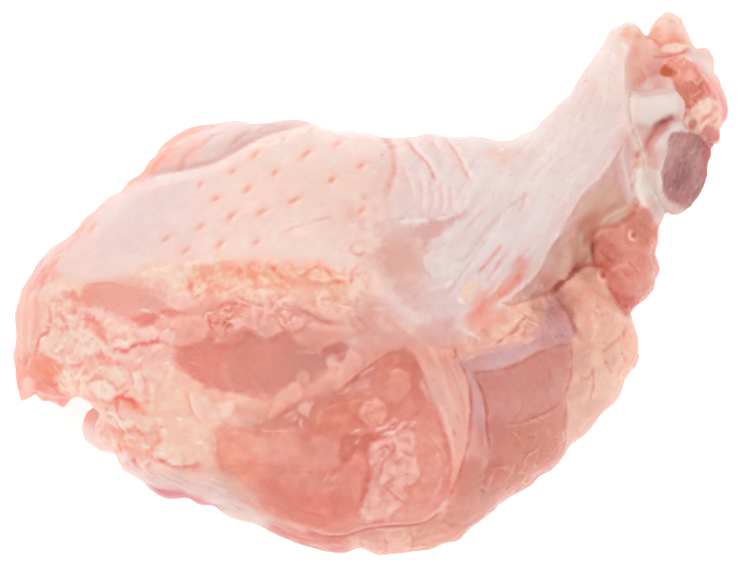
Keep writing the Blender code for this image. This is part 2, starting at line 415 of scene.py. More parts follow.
class Layers:
    """Relief and colour laid over a surface, as seen from the camera or, turned over, from behind.

    Places are given as x, y, x, y and so on in photograph pixels; widths, fades and rises in millimetres.
    Colours are 0..255 values as seen, and gloss is a roughness, so that a low value shines.
    """

    def __init__(self, mesh, ground):
        """Starts with one colour; rough makes edges ragged, and patchy breaks lines and feet up."""
        self.mesh = mesh
        self.points = numbers(mesh, "co")
        self.normals = numbers(mesh, "normal")
        self.flat = self.points[:, :2]
        self.rough = 0.8 * rough_noise(self.points, 1.8, 3, 5) + 0.35 * rough_noise(self.points, 0.5, 2, 6)
        self.patchy = eased(0.5 + rough_noise(self.points, 1.1, 3, 8))
        self.rise = np.zeros(len(self.points))
        self.colour = np.tile(linear(ground), (len(self.points), 1))
        self.gloss = np.full(len(self.points), PLAIN_ROUGHNESS)
        self.turn(1)

    def turn(self, side, past=0.3):
        """Turns to the side seen from the camera, 1, or from behind, -1, and paints so far past its limb."""
        self.seen = eased((side * self.normals[:, 2] + past) / LIMB_FADE)

    def near(self, path, reach):
        low = path.min(0) - reach
        high = path.max(0) + reach
        return np.flatnonzero(((self.flat > low) & (self.flat < high)).all(1) & (self.seen > 0))

    def lay(self, here, share, colour, cover, rise, gloss=None, relief=None):
        """Colour and relief, by a share for each of the points here."""
        self.rise[here] += rise * (share if relief is None else relief)
        amount = (np.clip(share, 0, 1) * cover)[:, None]
        self.colour[here] += amount * (linear(colour) - self.colour[here])
        if gloss is not None:
            self.gloss[here] += np.clip(share, 0, 1) * (gloss - self.gloss[here])

    def into(self, corners, ragged, reach, shift=(0, 0)):
        """The points near an outline, moved by a shift in millimetres, and how deep each is inside it."""
        path = smooth_path(px(corners), closed=True) + np.array(shift)
        here = self.near(path, reach + ragged)
        deep = distance_to(path, self.flat[here])
        deep = np.where(inside(path, self.flat[here]), deep, -deep)
        return here, deep + ragged * self.rough[here] * 1.5

    def area(self, corners, colour, cover=1.0, rise=0.0, fade=0.5, slope=None, ragged=0.25, gloss=None):
        """An area that fades at its edge; its relief may have a slope of its own."""
        here, deep = self.into(corners, ragged, max(fade, slope or 0))
        seen = self.seen[here]
        relief = None if slope is None else soft(deep, slope) * seen
        self.lay(here, soft(deep, fade) * seen, colour, cover, rise, gloss, relief)

    def lobes(self, table, shade, fade=0.3, ragged=0.3, gloss=None, cover=0.8, foot=(0.14, -0.24)):
        """Swellings, each with a painted shade at its foot, lower right: colour, rise and outline."""
        for colour, rise, corners in table:
            here, deep = self.into(corners, ragged, 1, foot)
            share = soft(deep, 0.4) * self.seen[here] * (1 - 0.7 * self.patchy[here])
            self.lay(here, share, shade, 0.6 * cover, -0.3 * rise)
            here, deep = self.into(corners, ragged, 1)
            seen = self.seen[here]
            self.lay(here, soft(deep, fade) * seen, colour, cover, rise, gloss, soft(deep, 0.45) * seen)

    def areas(self, table, ragged=0.3, gloss=None):
        """Several areas, in rows of colour, cover, rise, fade and outlines."""
        for colour, cover, rise, fade, *outlines in table:
            for corners in outlines:
                self.area(corners, colour, cover, rise, fade, ragged=min(ragged, fade), gloss=gloss)

    def part(self, corners, fade, ragged=0.3):
        """The points of an area and the share of each."""
        here, deep = self.into(corners, ragged, fade)
        return here, soft(deep, fade) * self.seen[here]

    def line(self, corners, width, colour, cover, rise, wander=0.12, broken=0.5, shift=(0, 0)):
        """A line that tapers at its ends, moved right and up by a shift in millimetres."""
        path = smooth_path(px(corners)) + np.array(shift)
        here = self.near(path, width * 3.5 + wander)
        flat = self.flat[here]
        gap = distance_to(path, flat) + wander * self.rough[here]
        patchy = 1 - broken * self.patchy[here]
        share = np.exp(-((gap / width / (0.5 + patchy)) ** 2)) * patchy * self.seen[here]
        for tip in (path[0], path[-1]):
            share *= eased(0.35 + np.linalg.norm(flat - tip, axis=1) / (width * 4))
        self.lay(here, share, colour, cover, rise)

    def lines(self, table, wander=0.12, broken=0.5):
        """Several lines, in rows of width, colour, cover, rise and courses."""
        for width, colour, cover, rise, *courses in table:
            for corners in courses:
                self.line(corners, width, colour, cover, rise, wander, broken)

    def spots(self, centres, *look):
        """Dots at places in photograph pixels."""
        self.dots(px(centres), *look)

    def dots(self, places, long, wide, angle, colour, cover, rise=0.0):
        """Soft ovals at places on the face."""
        way = np.array([math.cos(math.radians(angle)), math.sin(math.radians(angle))])
        for place in np.array(places):
            here = self.near(place[None], 2.5 * max(long, wide))
            off = self.flat[here] - place
            along = off @ way + 0.15 * long * self.rough[here]
            across = off @ np.array([-way[1], way[0]]) + 0.15 * wide * self.rough[here]
            share = np.exp(-((along / long) ** 2) - (across / wide) ** 2) * self.seen[here]
            self.lay(here, share, colour, cover, rise)

    def marked(self, here, share, marks):
        """Colours by a mark for each of the points here."""
        for colour, mark, cover in marks:
            self.colour[here] += (share * mark * cover)[:, None] * (linear(colour) - self.colour[here])

    def creases(self, corners, size, width, fold_shade, pale_sheen, cover, rise, fade, seed, turn=0.0, stretch=1.0,
                keep=0.5):
        """Overlapping folds that come and go: painted shade on one side that fades away, and a lip of
        painted highlight on the other.
        """
        here, share = self.part(corners, fade)
        spot = turned(self.points[here], turn) / np.array([stretch, 1, 1])
        warp = np.stack([smooth_noise(spot, size * 0.7, seed + k) for k in (11, 12, 13)], 1)
        spot = spot + size * 0.3 * warp
        slanted = np.array(Matrix.Rotation(0.8, 3, Vector((1, 2, 4))))

        def level(at):
            return smooth_noise(at, size, seed) + smooth_noise(at @ slanted, size * 0.8, seed + 2)

        step = 0.02 * size
        here_level = level(spot)
        slopes = [(level(spot + step * np.eye(3)[axis]) - here_level) / step for axis in (0, 1)]
        patchy = eased(keep + 1.2 * rough_noise(self.points[here], size * 1.1, 2, seed + 5))
        width = width * (0.4 + 1.1 * patchy)
        gap = here_level / np.maximum(np.hypot(*slopes), 0.7 / size)
        share = share * patchy
        gentle = np.exp(-np.abs(gap) / (3.5 * width))
        steep = np.exp(-((gap / (0.7 * width)) ** 2))
        shade = np.where(gap < 0, gentle, steep)
        lit_lip = np.exp(-(((gap - 2.2 * width) / (1.8 * width)) ** 2))
        self.rise[here] += share * rise * (lit_lip - shade)
        self.marked(here, share, ((fold_shade, shade, cover), (pale_sheen, lit_lip, cover)))

    def mottle(self, corners, size, low, high, cover, rise, fade=1.0, seed=0, stretch=(1, 1, 1), turn=0.0,
               octaves=3):
        """Cloudy hollows and swells, each with its colour."""
        here, share = self.part(corners, fade)
        noise = rough_noise(turned(self.points[here], turn) / np.array(stretch), size, octaves, seed)
        self.rise[here] += share * rise * noise
        self.marked(here, share, ((low, eased(-1.6 * noise), cover), (high, eased(1.6 * noise), cover)))

    def glints(self, corners, count, colour, long, wide, angle, rise, seed, cover):
        """Small specks and slivers scattered in an outline; the pale ones are painted glints of light."""
        path = smooth_path(px(corners), closed=True)
        random = np.random.default_rng(seed)
        places = random.uniform(path.min(0), path.max(0), (count * 4, 2))
        for place in places[inside(path, places)][:count]:
            size = random.uniform(0.5, 1.3)
            tilt = angle + random.uniform(-30, 30)
            self.dots([place], long * size, wide * size, tilt, colour, cover, rise)

    def grain(self, corners, way, long, wide, colour, cover, rise, fade=1.0, seed=0, thin=None):
        """Streaks that run along a direction, in degrees, or along a path; thin ones are fine creases."""
        here, share = self.part(corners, fade)
        spot = self.points[here]
        if isinstance(way, (int, float)):
            turn = math.radians(way)
            along = spot[:, 0] * math.cos(turn) + spot[:, 1] * math.sin(turn)
            across = spot[:, 1] * math.cos(turn) - spot[:, 0] * math.sin(turn)
        else:
            along, across = along_path(smooth_path(px(way)), spot[:, :2])
        across = across + wide * 0.8 * smooth_noise(spot, long * 0.6, seed + 7)
        stretched = np.stack([along / long, across / wide, spot[:, 2] / (2 * wide)], 1)
        noise = rough_noise(stretched, 1.0, 2, seed)
        mark = np.clip(noise * 1.2, -1, 1) if thin is None else np.exp(-((noise / thin) ** 2))
        self.rise[here] += share * rise * mark
        self.marked(here, share, ((colour, np.clip(mark, 0, 1), cover),))

    def tint(self, share, colour, cover):
        """Colour over the whole surface, by a share for each point."""
        self.lay(slice(None), share, colour, cover, 0)

    def flush(self, ends, rounds, strength, pit_shade_tone=(0.06, 1.0, 1.15), bump_light_tone=(0.75, 0.75, 0.7)):
        """Painted shade and light from the relief: pits turn redder and darker, as shade in them, and bumps
        turn paler, as light on them.
        """
        broad = self.rise
        count = np.maximum(np.bincount(ends.ravel(), minlength=len(broad)), 1)
        for _ in range(rounds):
            broad = 0.5 * broad + 0.5 * neighbour_sum(broad, ends) / count
        pit = np.clip((broad - self.rise) * strength, BRIGHTEST_BUMP_LIGHT, DEEPEST_PIT_SHADE)[:, None]
        self.colour *= 1 - pit * np.where(pit > 0, pit_shade_tone, bump_light_tone)

    def detail(self, ends):
        """How much colour and relief change at each point, from 0 to 1."""
        values = np.concatenate([self.colour, self.rise[:, None] * 0.5], 1)
        step = np.abs(values[ends[:, 0]] - values[ends[:, 1]]).max(1)
        most = np.zeros(len(self.points))
        for _ in range(2):
            for side in (0, 1):
                np.maximum.at(most, ends[:, side], step)
            step = np.maximum(most[ends[:, 0]], most[ends[:, 1]])
        return np.clip(most / FULL_DETAIL, 0, 1)

    def apply(self, share=1.0):
        """Moves the surface by a share of its relief, no lower than the table, and stores the colours."""
        set_points(self.mesh, above_table(self.points + self.normals * self.rise[:, None] * share))
        colour = self.mesh.color_attributes.new("tint", "FLOAT_COLOR", "POINT")
        rgba = np.ones((len(self.points), 4))
        rgba[:, :3] = np.clip(self.colour, 0, 1)
        colour.data.foreach_set("color", rgba.ravel())
        gloss = self.mesh.attributes.new("gloss", "FLOAT", "POINT")
        gloss.data.foreach_set("value", self.gloss)


# ---------------------------------------------------------------- materials and pieces

def set_inputs(made, values):
    for name, value in values.items():
        made.inputs[name].default_value = value


def node(tree, kind, values=None, **settings):
    """A new node: the values of its sockets and its own settings."""
    made = tree.nodes.new(kind)
    for name, value in settings.items():
        setattr(made, name, value)
    set_inputs(made, values or {})
    return made


def moist_material(name, mottle, grain, scatter, bump):
    """A moist surface: the tint of its points, mottled, over light that sinks in and comes back out."""
    made = bpy.data.materials.new(name)
    made.use_nodes = True
    tree = made.node_tree
    link = tree.links.new
    shader = tree.nodes["Principled BSDF"]
    place = node(tree, "ShaderNodeNewGeometry")
    tint = node(tree, "ShaderNodeAttribute", attribute_name="tint")
    gloss = node(tree, "ShaderNodeAttribute", attribute_name="gloss")
    blotch = node(tree, "ShaderNodeTexNoise", {"Scale": 1 / (3 * MM), "Detail": 4.0, "Roughness": 0.6})
    fine = node(tree, "ShaderNodeTexNoise", {"Scale": 1 / (0.7 * MM), "Detail": 2.0, "Roughness": 0.5})
    for noise in (blotch, fine):
        link(place.outputs["Position"], noise.inputs["Vector"])
    spread = node(tree, "ShaderNodeMapRange", {
        "From Min": 0.3, "From Max": 0.7, "To Min": 1 - mottle, "To Max": 1 + mottle * 0.6})
    link(blotch.outputs["Fac"], spread.inputs["Value"])
    blood = node(tree, "ShaderNodeCombineColor", {"Red": 1.0})
    for part in ("Green", "Blue"):
        link(spread.outputs["Result"], blood.inputs[part])
    shade = node(tree, "ShaderNodeMix", {0: 1.0}, data_type="RGBA", blend_type="MULTIPLY")
    link(tint.outputs["Color"], shade.inputs[6])
    link(blood.outputs["Color"], shade.inputs[7])
    link(shade.outputs[2], shader.inputs["Base Color"])
    rough = node(tree, "ShaderNodeMath", {1: 0.35}, operation="MULTIPLY_ADD")
    link(fine.outputs["Fac"], rough.inputs[0])
    link(gloss.outputs["Fac"], rough.inputs[2])
    less = node(tree, "ShaderNodeMath", {1: 0.17}, operation="SUBTRACT")
    link(rough.outputs[0], less.inputs[0])
    link(less.outputs[0], shader.inputs["Roughness"])
    both = node(tree, "ShaderNodeMath", {1: 2.0}, operation="MULTIPLY_ADD")
    link(blotch.outputs["Fac"], both.inputs[0])
    link(fine.outputs["Fac"], both.inputs[2])
    relief = node(tree, "ShaderNodeBump", {"Strength": bump, "Distance": grain * MM})
    link(both.outputs[0], relief.inputs["Height"])
    link(relief.outputs["Normal"], shader.inputs["Normal"])
    set_inputs(shader, {
        "Subsurface Weight": scatter,
        "Subsurface Radius": (1.0, 0.45, 0.3),
        "Subsurface Scale": 1.2 * MM,
        "Specular IOR Level": 0.35,
        "Coat Weight": 0.12,
        "Coat Roughness": 0.12,
    })
    return made


def add_piece(name, mesh, material, replaced):
    """Adds a mesh of the face frame to the part, in place of the CAD nodes that it replaces."""
    mesh.transform(PLACE)
    mesh.materials.clear()
    mesh.materials.append(material)
    mesh.shade_smooth()
    piece = add_object(name, mesh)
    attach(piece, "root")
    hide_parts(*replaced)


# ---------------------------------------------------------------- outlines, in photograph pixels

def backwards(numbers):
    """A course of x, y, x, y and so on, from its other end."""
    return tuple(part for x, y in zip(numbers[-2::-2], numbers[::-2]) for part in (x, y))


SHEATH_EDGE = (
    636, 40, 631, 70, 632, 130, 616, 154, 599, 178, 582, 194, 570, 213, 563, 230, 552, 244, 541, 266,
    530, 281, 515, 293, 500, 303
)
SHEATH_BACK = backwards(SHEATH_EDGE) + (655, 20)
SKIN_EDGE = (
    20, 292, 50, 296, 70, 292, 89, 283, 115, 284, 134, 277, 153, 268, 192, 263, 240, 261, 283, 263,
    312, 268, 336, 277, 353, 285, 375, 300, 398, 318, 425, 333, 450, 335, 475, 318
)
MEAT_SIDE = SKIN_EDGE + SHEATH_BACK + (800, 0, 800, 640, -60, 640, -60, 292)
NECK = (
    388, 120, 480, 120, 535, 110, 575, 70, 610, 10, 655, 20, *SHEATH_EDGE, 475, 318, 450, 335, 425, 330,
    403, 315, 394, 290, 398, 265, 392, 235, 398, 205, 392, 180, 386, 160
)
DOME = (
    40, 285, 60, 245, 130, 195, 230, 160, 310, 125, 385, 135, 392, 180, 392, 235, 380, 270, 345, 268,
    283, 258, 192, 258, 134, 272, 89, 280
)
PORES = (
    257, 154, 332, 181, 295, 201, 249, 190, 361, 166, 264, 212, 284, 139, 337, 144, 307, 154, 276, 173,
    218, 199, 233, 217, 234, 172, 188, 251, 222, 244, 258, 242, 361, 211, 202, 227, 312, 129, 93, 227,
    168, 239, 202, 185
)
YELLOW_BAND = (
    150, 272, 190, 262, 240, 259, 283, 261, 312, 266, 336, 275, 356, 284, 358, 296, 340, 300, 310, 298,
    280, 300, 262, 304, 240, 303, 220, 301, 200, 300, 180, 297, 165, 285
)
FAT = (
    62, 283, 90, 284, 84, 302, 97, 312, 120, 320, 176, 318, 213, 330, 205, 343, 178, 346, 180, 365,
    200, 380, 260, 400, 262, 424, 228, 424, 217, 440, 224, 470, 255, 503, 262, 530, 190, 505, 120, 480,
    80, 430, 88, 402, 55, 390, 40, 350, 48, 330, 48, 300
)
SMALL_WINDOW = (
    79, 303, 90, 287, 107, 287, 131, 288, 152, 292, 166, 299, 175, 308, 184, 314, 173, 317, 166, 322,
    152, 325, 138, 322, 117, 316, 97, 310, 84, 308
)
WINDOW = (
    180, 354, 183, 348, 199, 343, 216, 335, 222, 343, 246, 331, 260, 332, 268, 338, 285, 331, 303, 341,
    318, 350, 327, 355, 329, 367, 321, 376, 311, 384, 291, 385, 277, 393, 268, 400, 255, 395, 237, 391,
    216, 385, 196, 375, 184, 365
)
OVAL = (
    217, 440, 220, 430, 230, 423, 254, 426, 262, 424, 305, 426, 325, 405, 345, 385, 372, 362, 399, 352,
    414, 360, 420, 385, 438, 415, 449, 455, 447, 484, 430, 507, 400, 518, 368, 523, 340, 528, 300, 521,
    255, 503, 224, 470
)
TENDON = (
    412, 350, 421, 373, 431, 400, 440, 426, 448, 447, 448, 476, 452, 490, 460, 478, 463, 458, 467, 430,
    467, 405, 463, 382, 456, 357, 442, 346, 425, 343
)
STRIP = (
    468, 372, 474, 376, 481, 392, 484, 424, 487, 450, 480, 466, 472, 474, 468, 460, 467, 440, 469, 415,
    467, 390
)
OUTER_MUSCLE = (
    472, 371, 501, 366, 534, 351, 557, 347, 570, 346, 569, 370, 562, 397, 567, 415, 565, 437, 580, 440,
    560, 480, 530, 505, 500, 530, 478, 540, 462, 520, 464, 502, 474, 480, 487, 455, 485, 424, 482, 395
)
FASCIA = (
    458, 357, 489, 347, 519, 341, 534, 335, 541, 319, 549, 300, 561, 306, 570, 322, 575, 335, 561, 346,
    534, 351, 501, 366, 471, 371
)
PAD = (
    563, 290, 573, 276, 590, 270, 602, 284, 616, 299, 630, 314, 660, 320, 650, 420, 590, 470, 573, 450,
    565, 437, 567, 415, 563, 397, 569, 370, 573, 349, 576, 328, 572, 306
)
JOINT_MEAT = (
    593, 244, 598, 234, 605, 228, 624, 224, 629, 215, 642, 207, 653, 210, 662, 228, 672, 245, 670, 290,
    655, 305, 640, 312, 629, 313, 615, 298, 607, 286, 598, 271, 594, 261
)
BEIGE = (
    *SHEATH_EDGE[4:], 510, 305, 530, 300, 548, 296, 556, 292, 562, 283, 573, 274, 586, 264, 593, 252,
    594, 240, 600, 232, 626, 224, 640, 205, 636, 190, 640, 160, 642, 134
)

# small moves that bring the outline nearer to the photograph: x, y, reach, right and down
PUSHES = (
    (16, 295, 16, 4, 0), (25, 274, 14, 5, 1), (39, 256, 14, 2, 2), (88, 226, 16, -6, -6),
    (119, 188, 10, 2, 3), (138, 169, 12, 3, 4), (215, 121, 16, 0, 3), (262, 120, 20, 0, 4),
    (331, 124, 20, 0, 7), (430, 137, 12, 0, -4), (478, 139, 14, 0, -3), (534, 125, 10, 2, 3),
    (562, 104, 10, -2, -2), (614, 31, 8, -2, -2), (631, 26, 8, 0, -4), (650, 29, 5, 0, 10),
    (700, 41, 6, 0, 5), (715, 70, 8, -3, 0), (725, 127, 9, -7, 0), (713, 150, 9, 8, -1),
    (704, 178, 9, 1, 0), (675, 210, 10, 0, 4), (661, 253, 12, -7, 0), (659, 277, 8, -3, -1),
    (630, 382, 14, -5, -4), (562, 454, 9, 1, 0), (541, 478, 10, -3, -3), (522, 493, 22, -2, -3),
    (455, 536, 12, 1, 4), (430, 546, 12, 0, 3), (360, 554, 12, 0, -7), (212, 514, 14, 2, -8),
    (187, 507, 14, 2, -8), (136, 483, 14, 3, -4), (108, 459, 15, 8, -6), (94, 446, 6, 3, -3),
    (85, 403, 6, 9, 0), (95, 414, 9, 8, -3), (61, 402, 5, 0, 6), (34, 399, 5, 0, -7), (22, 395, 4, -2, 5),
    (48, 400, 4, 0, -3), (12, 355, 10, -3, 0),
)


# ---------------------------------------------------------------- the parts of the surface

def paint_skin(skin):
    """The domed skin with its pores, the lobe behind it and the roll down the left side."""
    skin.tint(eased(0.5 + 0.9 * rough_noise(skin.points, 9, 3, 40)), (240, 207, 199), 0.5)
    broad_zones = (
        ((240, 206, 199), 1, 0, 3, (30, 290, 45, 262, 95, 222, 150, 190, 215, 180, 240, 200, 215, 240,
            170, 258, 130, 272, 85, 280, 55, 292)),
        ((232, 205, 203), 0.9, 0, 2.5, (105, 218, 150, 188, 192, 172, 192, 205, 160, 228, 125, 236)),
        ((242, 215, 207), 0.8, 0, 2, (150, 228, 190, 195, 215, 185, 225, 210, 200, 240, 165, 250)),
        ((244, 211, 197), 1, 0, 3, (215, 180, 260, 150, 380, 150, 395, 200, 380, 260, 300, 262, 230, 255)),
        ((240, 200, 183), 0.8, 0, 2, (300, 178, 345, 165, 368, 185, 350, 205, 312, 205)),
        ((239, 211, 200), 0.8, 0, 1.6, (262, 150, 310, 130, 360, 134, 378, 150, 355, 166, 310, 158,
            270, 160)),
        ((238, 198, 183), 0.8, 0, 2.2, (328, 215, 380, 195, 392, 230, 385, 262, 345, 262, 335, 238)),
        ((246, 214, 202), 0.8, 0, 1.2, (135, 268, 160, 254, 205, 240, 300, 236, 330, 250, 300, 260,
            192, 262)),
        # painted shade at the dome's right edge, where it overlaps the neck
        ((232, 180, 166), 0.8, 0, 1.2, (372, 160, 384, 146, 391, 152, 394, 172, 390, 198, 378, 196)),
        # a painted highlight where the light falls on the dome's top edge
        ((252, 240, 236), 0.9, 0, 0.6, (310, 124, 340, 125, 366, 132, 373, 139, 345, 134, 318, 131)),
    )
    skin.areas(broad_zones, ragged=0.8)
    skin.grain(DOME, 40, 4, 0.9, (228, 196, 192), 0.2, 0.04, seed=50, thin=0.1)
    skin.mottle(DOME, 1.6, (238, 200, 186), (247, 220, 209), 0.2, 0.02, seed=55)
    skin.area(DOME, (240, 226, 222), 0.28, fade=1)
    ragged_end = (350, 205, 385, 196, 394, 235, 386, 268, 362, 272, 345, 250)
    skin.mottle(ragged_end, 1.8, (229, 180, 163), (243, 214, 201), 0.5, 0.06, seed=56)
    places = px(PORES)
    for place, (u, v) in enumerate(places):
        strength = 1 - 0.55 * place / len(places)
        tilt = 38 + 10 * math.sin(place * 2.4)
        size = 0.9 + 0.25 * math.sin(place * 4.1)
        skin.dots([(u, v)], 1.25 * size, 0.6, tilt, (245, 194, 172), 0.6 * strength, -0.05)
        skin.dots([(u, v - 0.05)], 0.6 * size, 0.27, tilt, (240, 164, 138), 0.65 * strength, -0.08)
        # a painted highlight on the rim at each pore's lower right
        skin.dots([(u + 0.4, v - 0.4)], 0.6 * size, 0.2, tilt, (249, 221, 209), 0.4 * strength, 0.05)
    dome_creases = (
        (0.12, (238, 184, 166), 0.55, -0.06, (290, 229, 305, 225, 318, 221, 333, 218)),
        (0.1, (240, 192, 174), 0.4, -0.04, (286, 231, 296, 230, 306, 228)),
        (0.16, (226, 128, 108), 0.5, -0.06, (353, 245, 351, 250, 354, 254, 361, 255, 364, 251)),
        (0.16, (228, 150, 130), 0.5, 0.04, (355, 243, 361, 242, 365, 247)),
    )
    skin.lines(dome_creases)
    red_speck = (382, 155)
    skin.spots(red_speck, 0.26, 0.12, -35, (238, 110, 95), 0.9)
    # the lobe at the upper left, its warm rim and the dome's edge in front of it, with painted shade on the
    # lobe under the edge and a painted highlight along the edge
    lobe_zones = (
        ((231, 204, 199), 0.95, 0, 0.6, (130, 182, 150, 150, 200, 118, 262, 112, 318, 118, 284, 131,
            262, 140, 240, 153, 216, 164, 190, 169, 158, 174)),
        ((240, 192, 183), 0.8, 0, 0.8, (160, 168, 172, 148, 190, 138, 202, 146, 196, 162, 180, 169)),
        ((246, 170, 146), 0.9, 0, 0.6, (128, 184, 140, 165, 165, 138, 195, 118, 220, 116, 206, 128,
            188, 138, 176, 147, 166, 160, 158, 171, 146, 178)),
        # painted shade on the lobe, just above the dome's edge
        ((227, 192, 186), 0.7, 0, 0.6, (214, 158, 236, 146, 262, 134, 285, 127, 262, 128, 236, 138)),
    )
    skin.areas(lobe_zones)
    warm_rim = (120, 190, 150, 150, 200, 112, 230, 112, 180, 150, 150, 182)
    skin.mottle(warm_rim, 2.2, (243, 176, 156), (238, 204, 194), 0.5, 0.1, 1, seed=51)
    lobe_folds = (
        (0.3, (238, 180, 165), 0.6, -0.2, (181, 168, 185, 158, 193, 151, 204, 144, 210, 136)),
        (0.25, (226, 186, 178), 0.6, -0.15, (208, 142, 216, 134, 228, 131), (229, 150, 238, 139, 250, 132)),
        (0.2, (226, 186, 178), 0.6, -0.15, (256, 134, 264, 127, 276, 124)),
        (0.2, (248, 150, 122), 0.7, -0.05, (150, 172, 162, 158, 172, 146)),
    )
    skin.lines(lobe_folds, broken=0.3)
    edge = (150, 176, 170, 172, 190, 169, 213, 163, 231, 154, 250, 143, 268, 134, 290, 128, 314, 122)
    # a painted shadow along the dome's edge, then a painted highlight on the dome just below it
    skin.line(edge, 0.35, (224, 178, 170), 0.6, -0.2, broken=0.3)
    skin.line(edge, 0.4, (246, 226, 219), 0.75, 0.2, broken=0.3, shift=(0.2, -0.6))
    # the roll down the left side: stripes of pale film over salmon meat
    roll_stripes = (
        ((242, 178, 164), 0.95, 0, 1.4, (-20, 300, 20, 278, 44, 268, 38, 300, 34, 330, 34, 352, 20, 410,
            -20, 420)),
        ((240, 190, 181), 0.85, 0, 1.4, (30, 290, 60, 240, 95, 208, 80, 240, 55, 268, 42, 292)),
        ((236, 184, 174), 0.8, 0, 0.5, (17, 330, 20, 300, 32, 270, 50, 245, 40, 268, 27, 300, 22, 345)),
        ((241, 168, 152), 0.85, -0.1, 0.4, (47, 268, 41, 283, 34, 296, 31, 315, 29, 345, 28, 372, 22, 372,
            24, 330, 28, 300, 36, 282)),
        ((240, 200, 192), 0.85, 0.15, 0.35, (33, 297, 38, 300, 37, 320, 35, 342, 31, 345, 31, 318)),
        ((245, 178, 162), 0.8, 0, 0.5, (44, 302, 52, 304, 50, 325, 44, 338, 38, 340, 38, 318)),
        ((245, 180, 164), 0.7, 0, 0.5, (44, 276, 52, 268, 60, 270, 58, 280, 47, 283)),
        ((241, 206, 198), 0.7, 0.1, 0.4, (36, 293, 42, 286, 52, 284, 66, 285, 60, 293, 46, 300, 35, 300)),
        ((243, 212, 206), 0.8, 0.15, 0.35, (42, 320, 48, 318, 50, 326, 47, 331, 42, 328)),
    )
    skin.areas(roll_stripes, ragged=0.4)
    rim = (95, 205, 60, 240, 36, 285, 26, 330, 24, 400)
    roll = (0, 420, 0, 300, 60, 225, 100, 205, 64, 262, 42, 300, 36, 360)
    skin.grain(roll, rim, 7, 0.7, (242, 196, 186), 0.35, 0.06, seed=52)
    skin.grain(roll, rim, 7, 0.6, (236, 158, 144), 0.35, -0.05, seed=53, thin=0.14)
    roll_crease = (58, 258, 48, 276, 40, 288)
    skin.line(roll_crease, 0.3, (242, 168, 152), 0.7, -0.2)


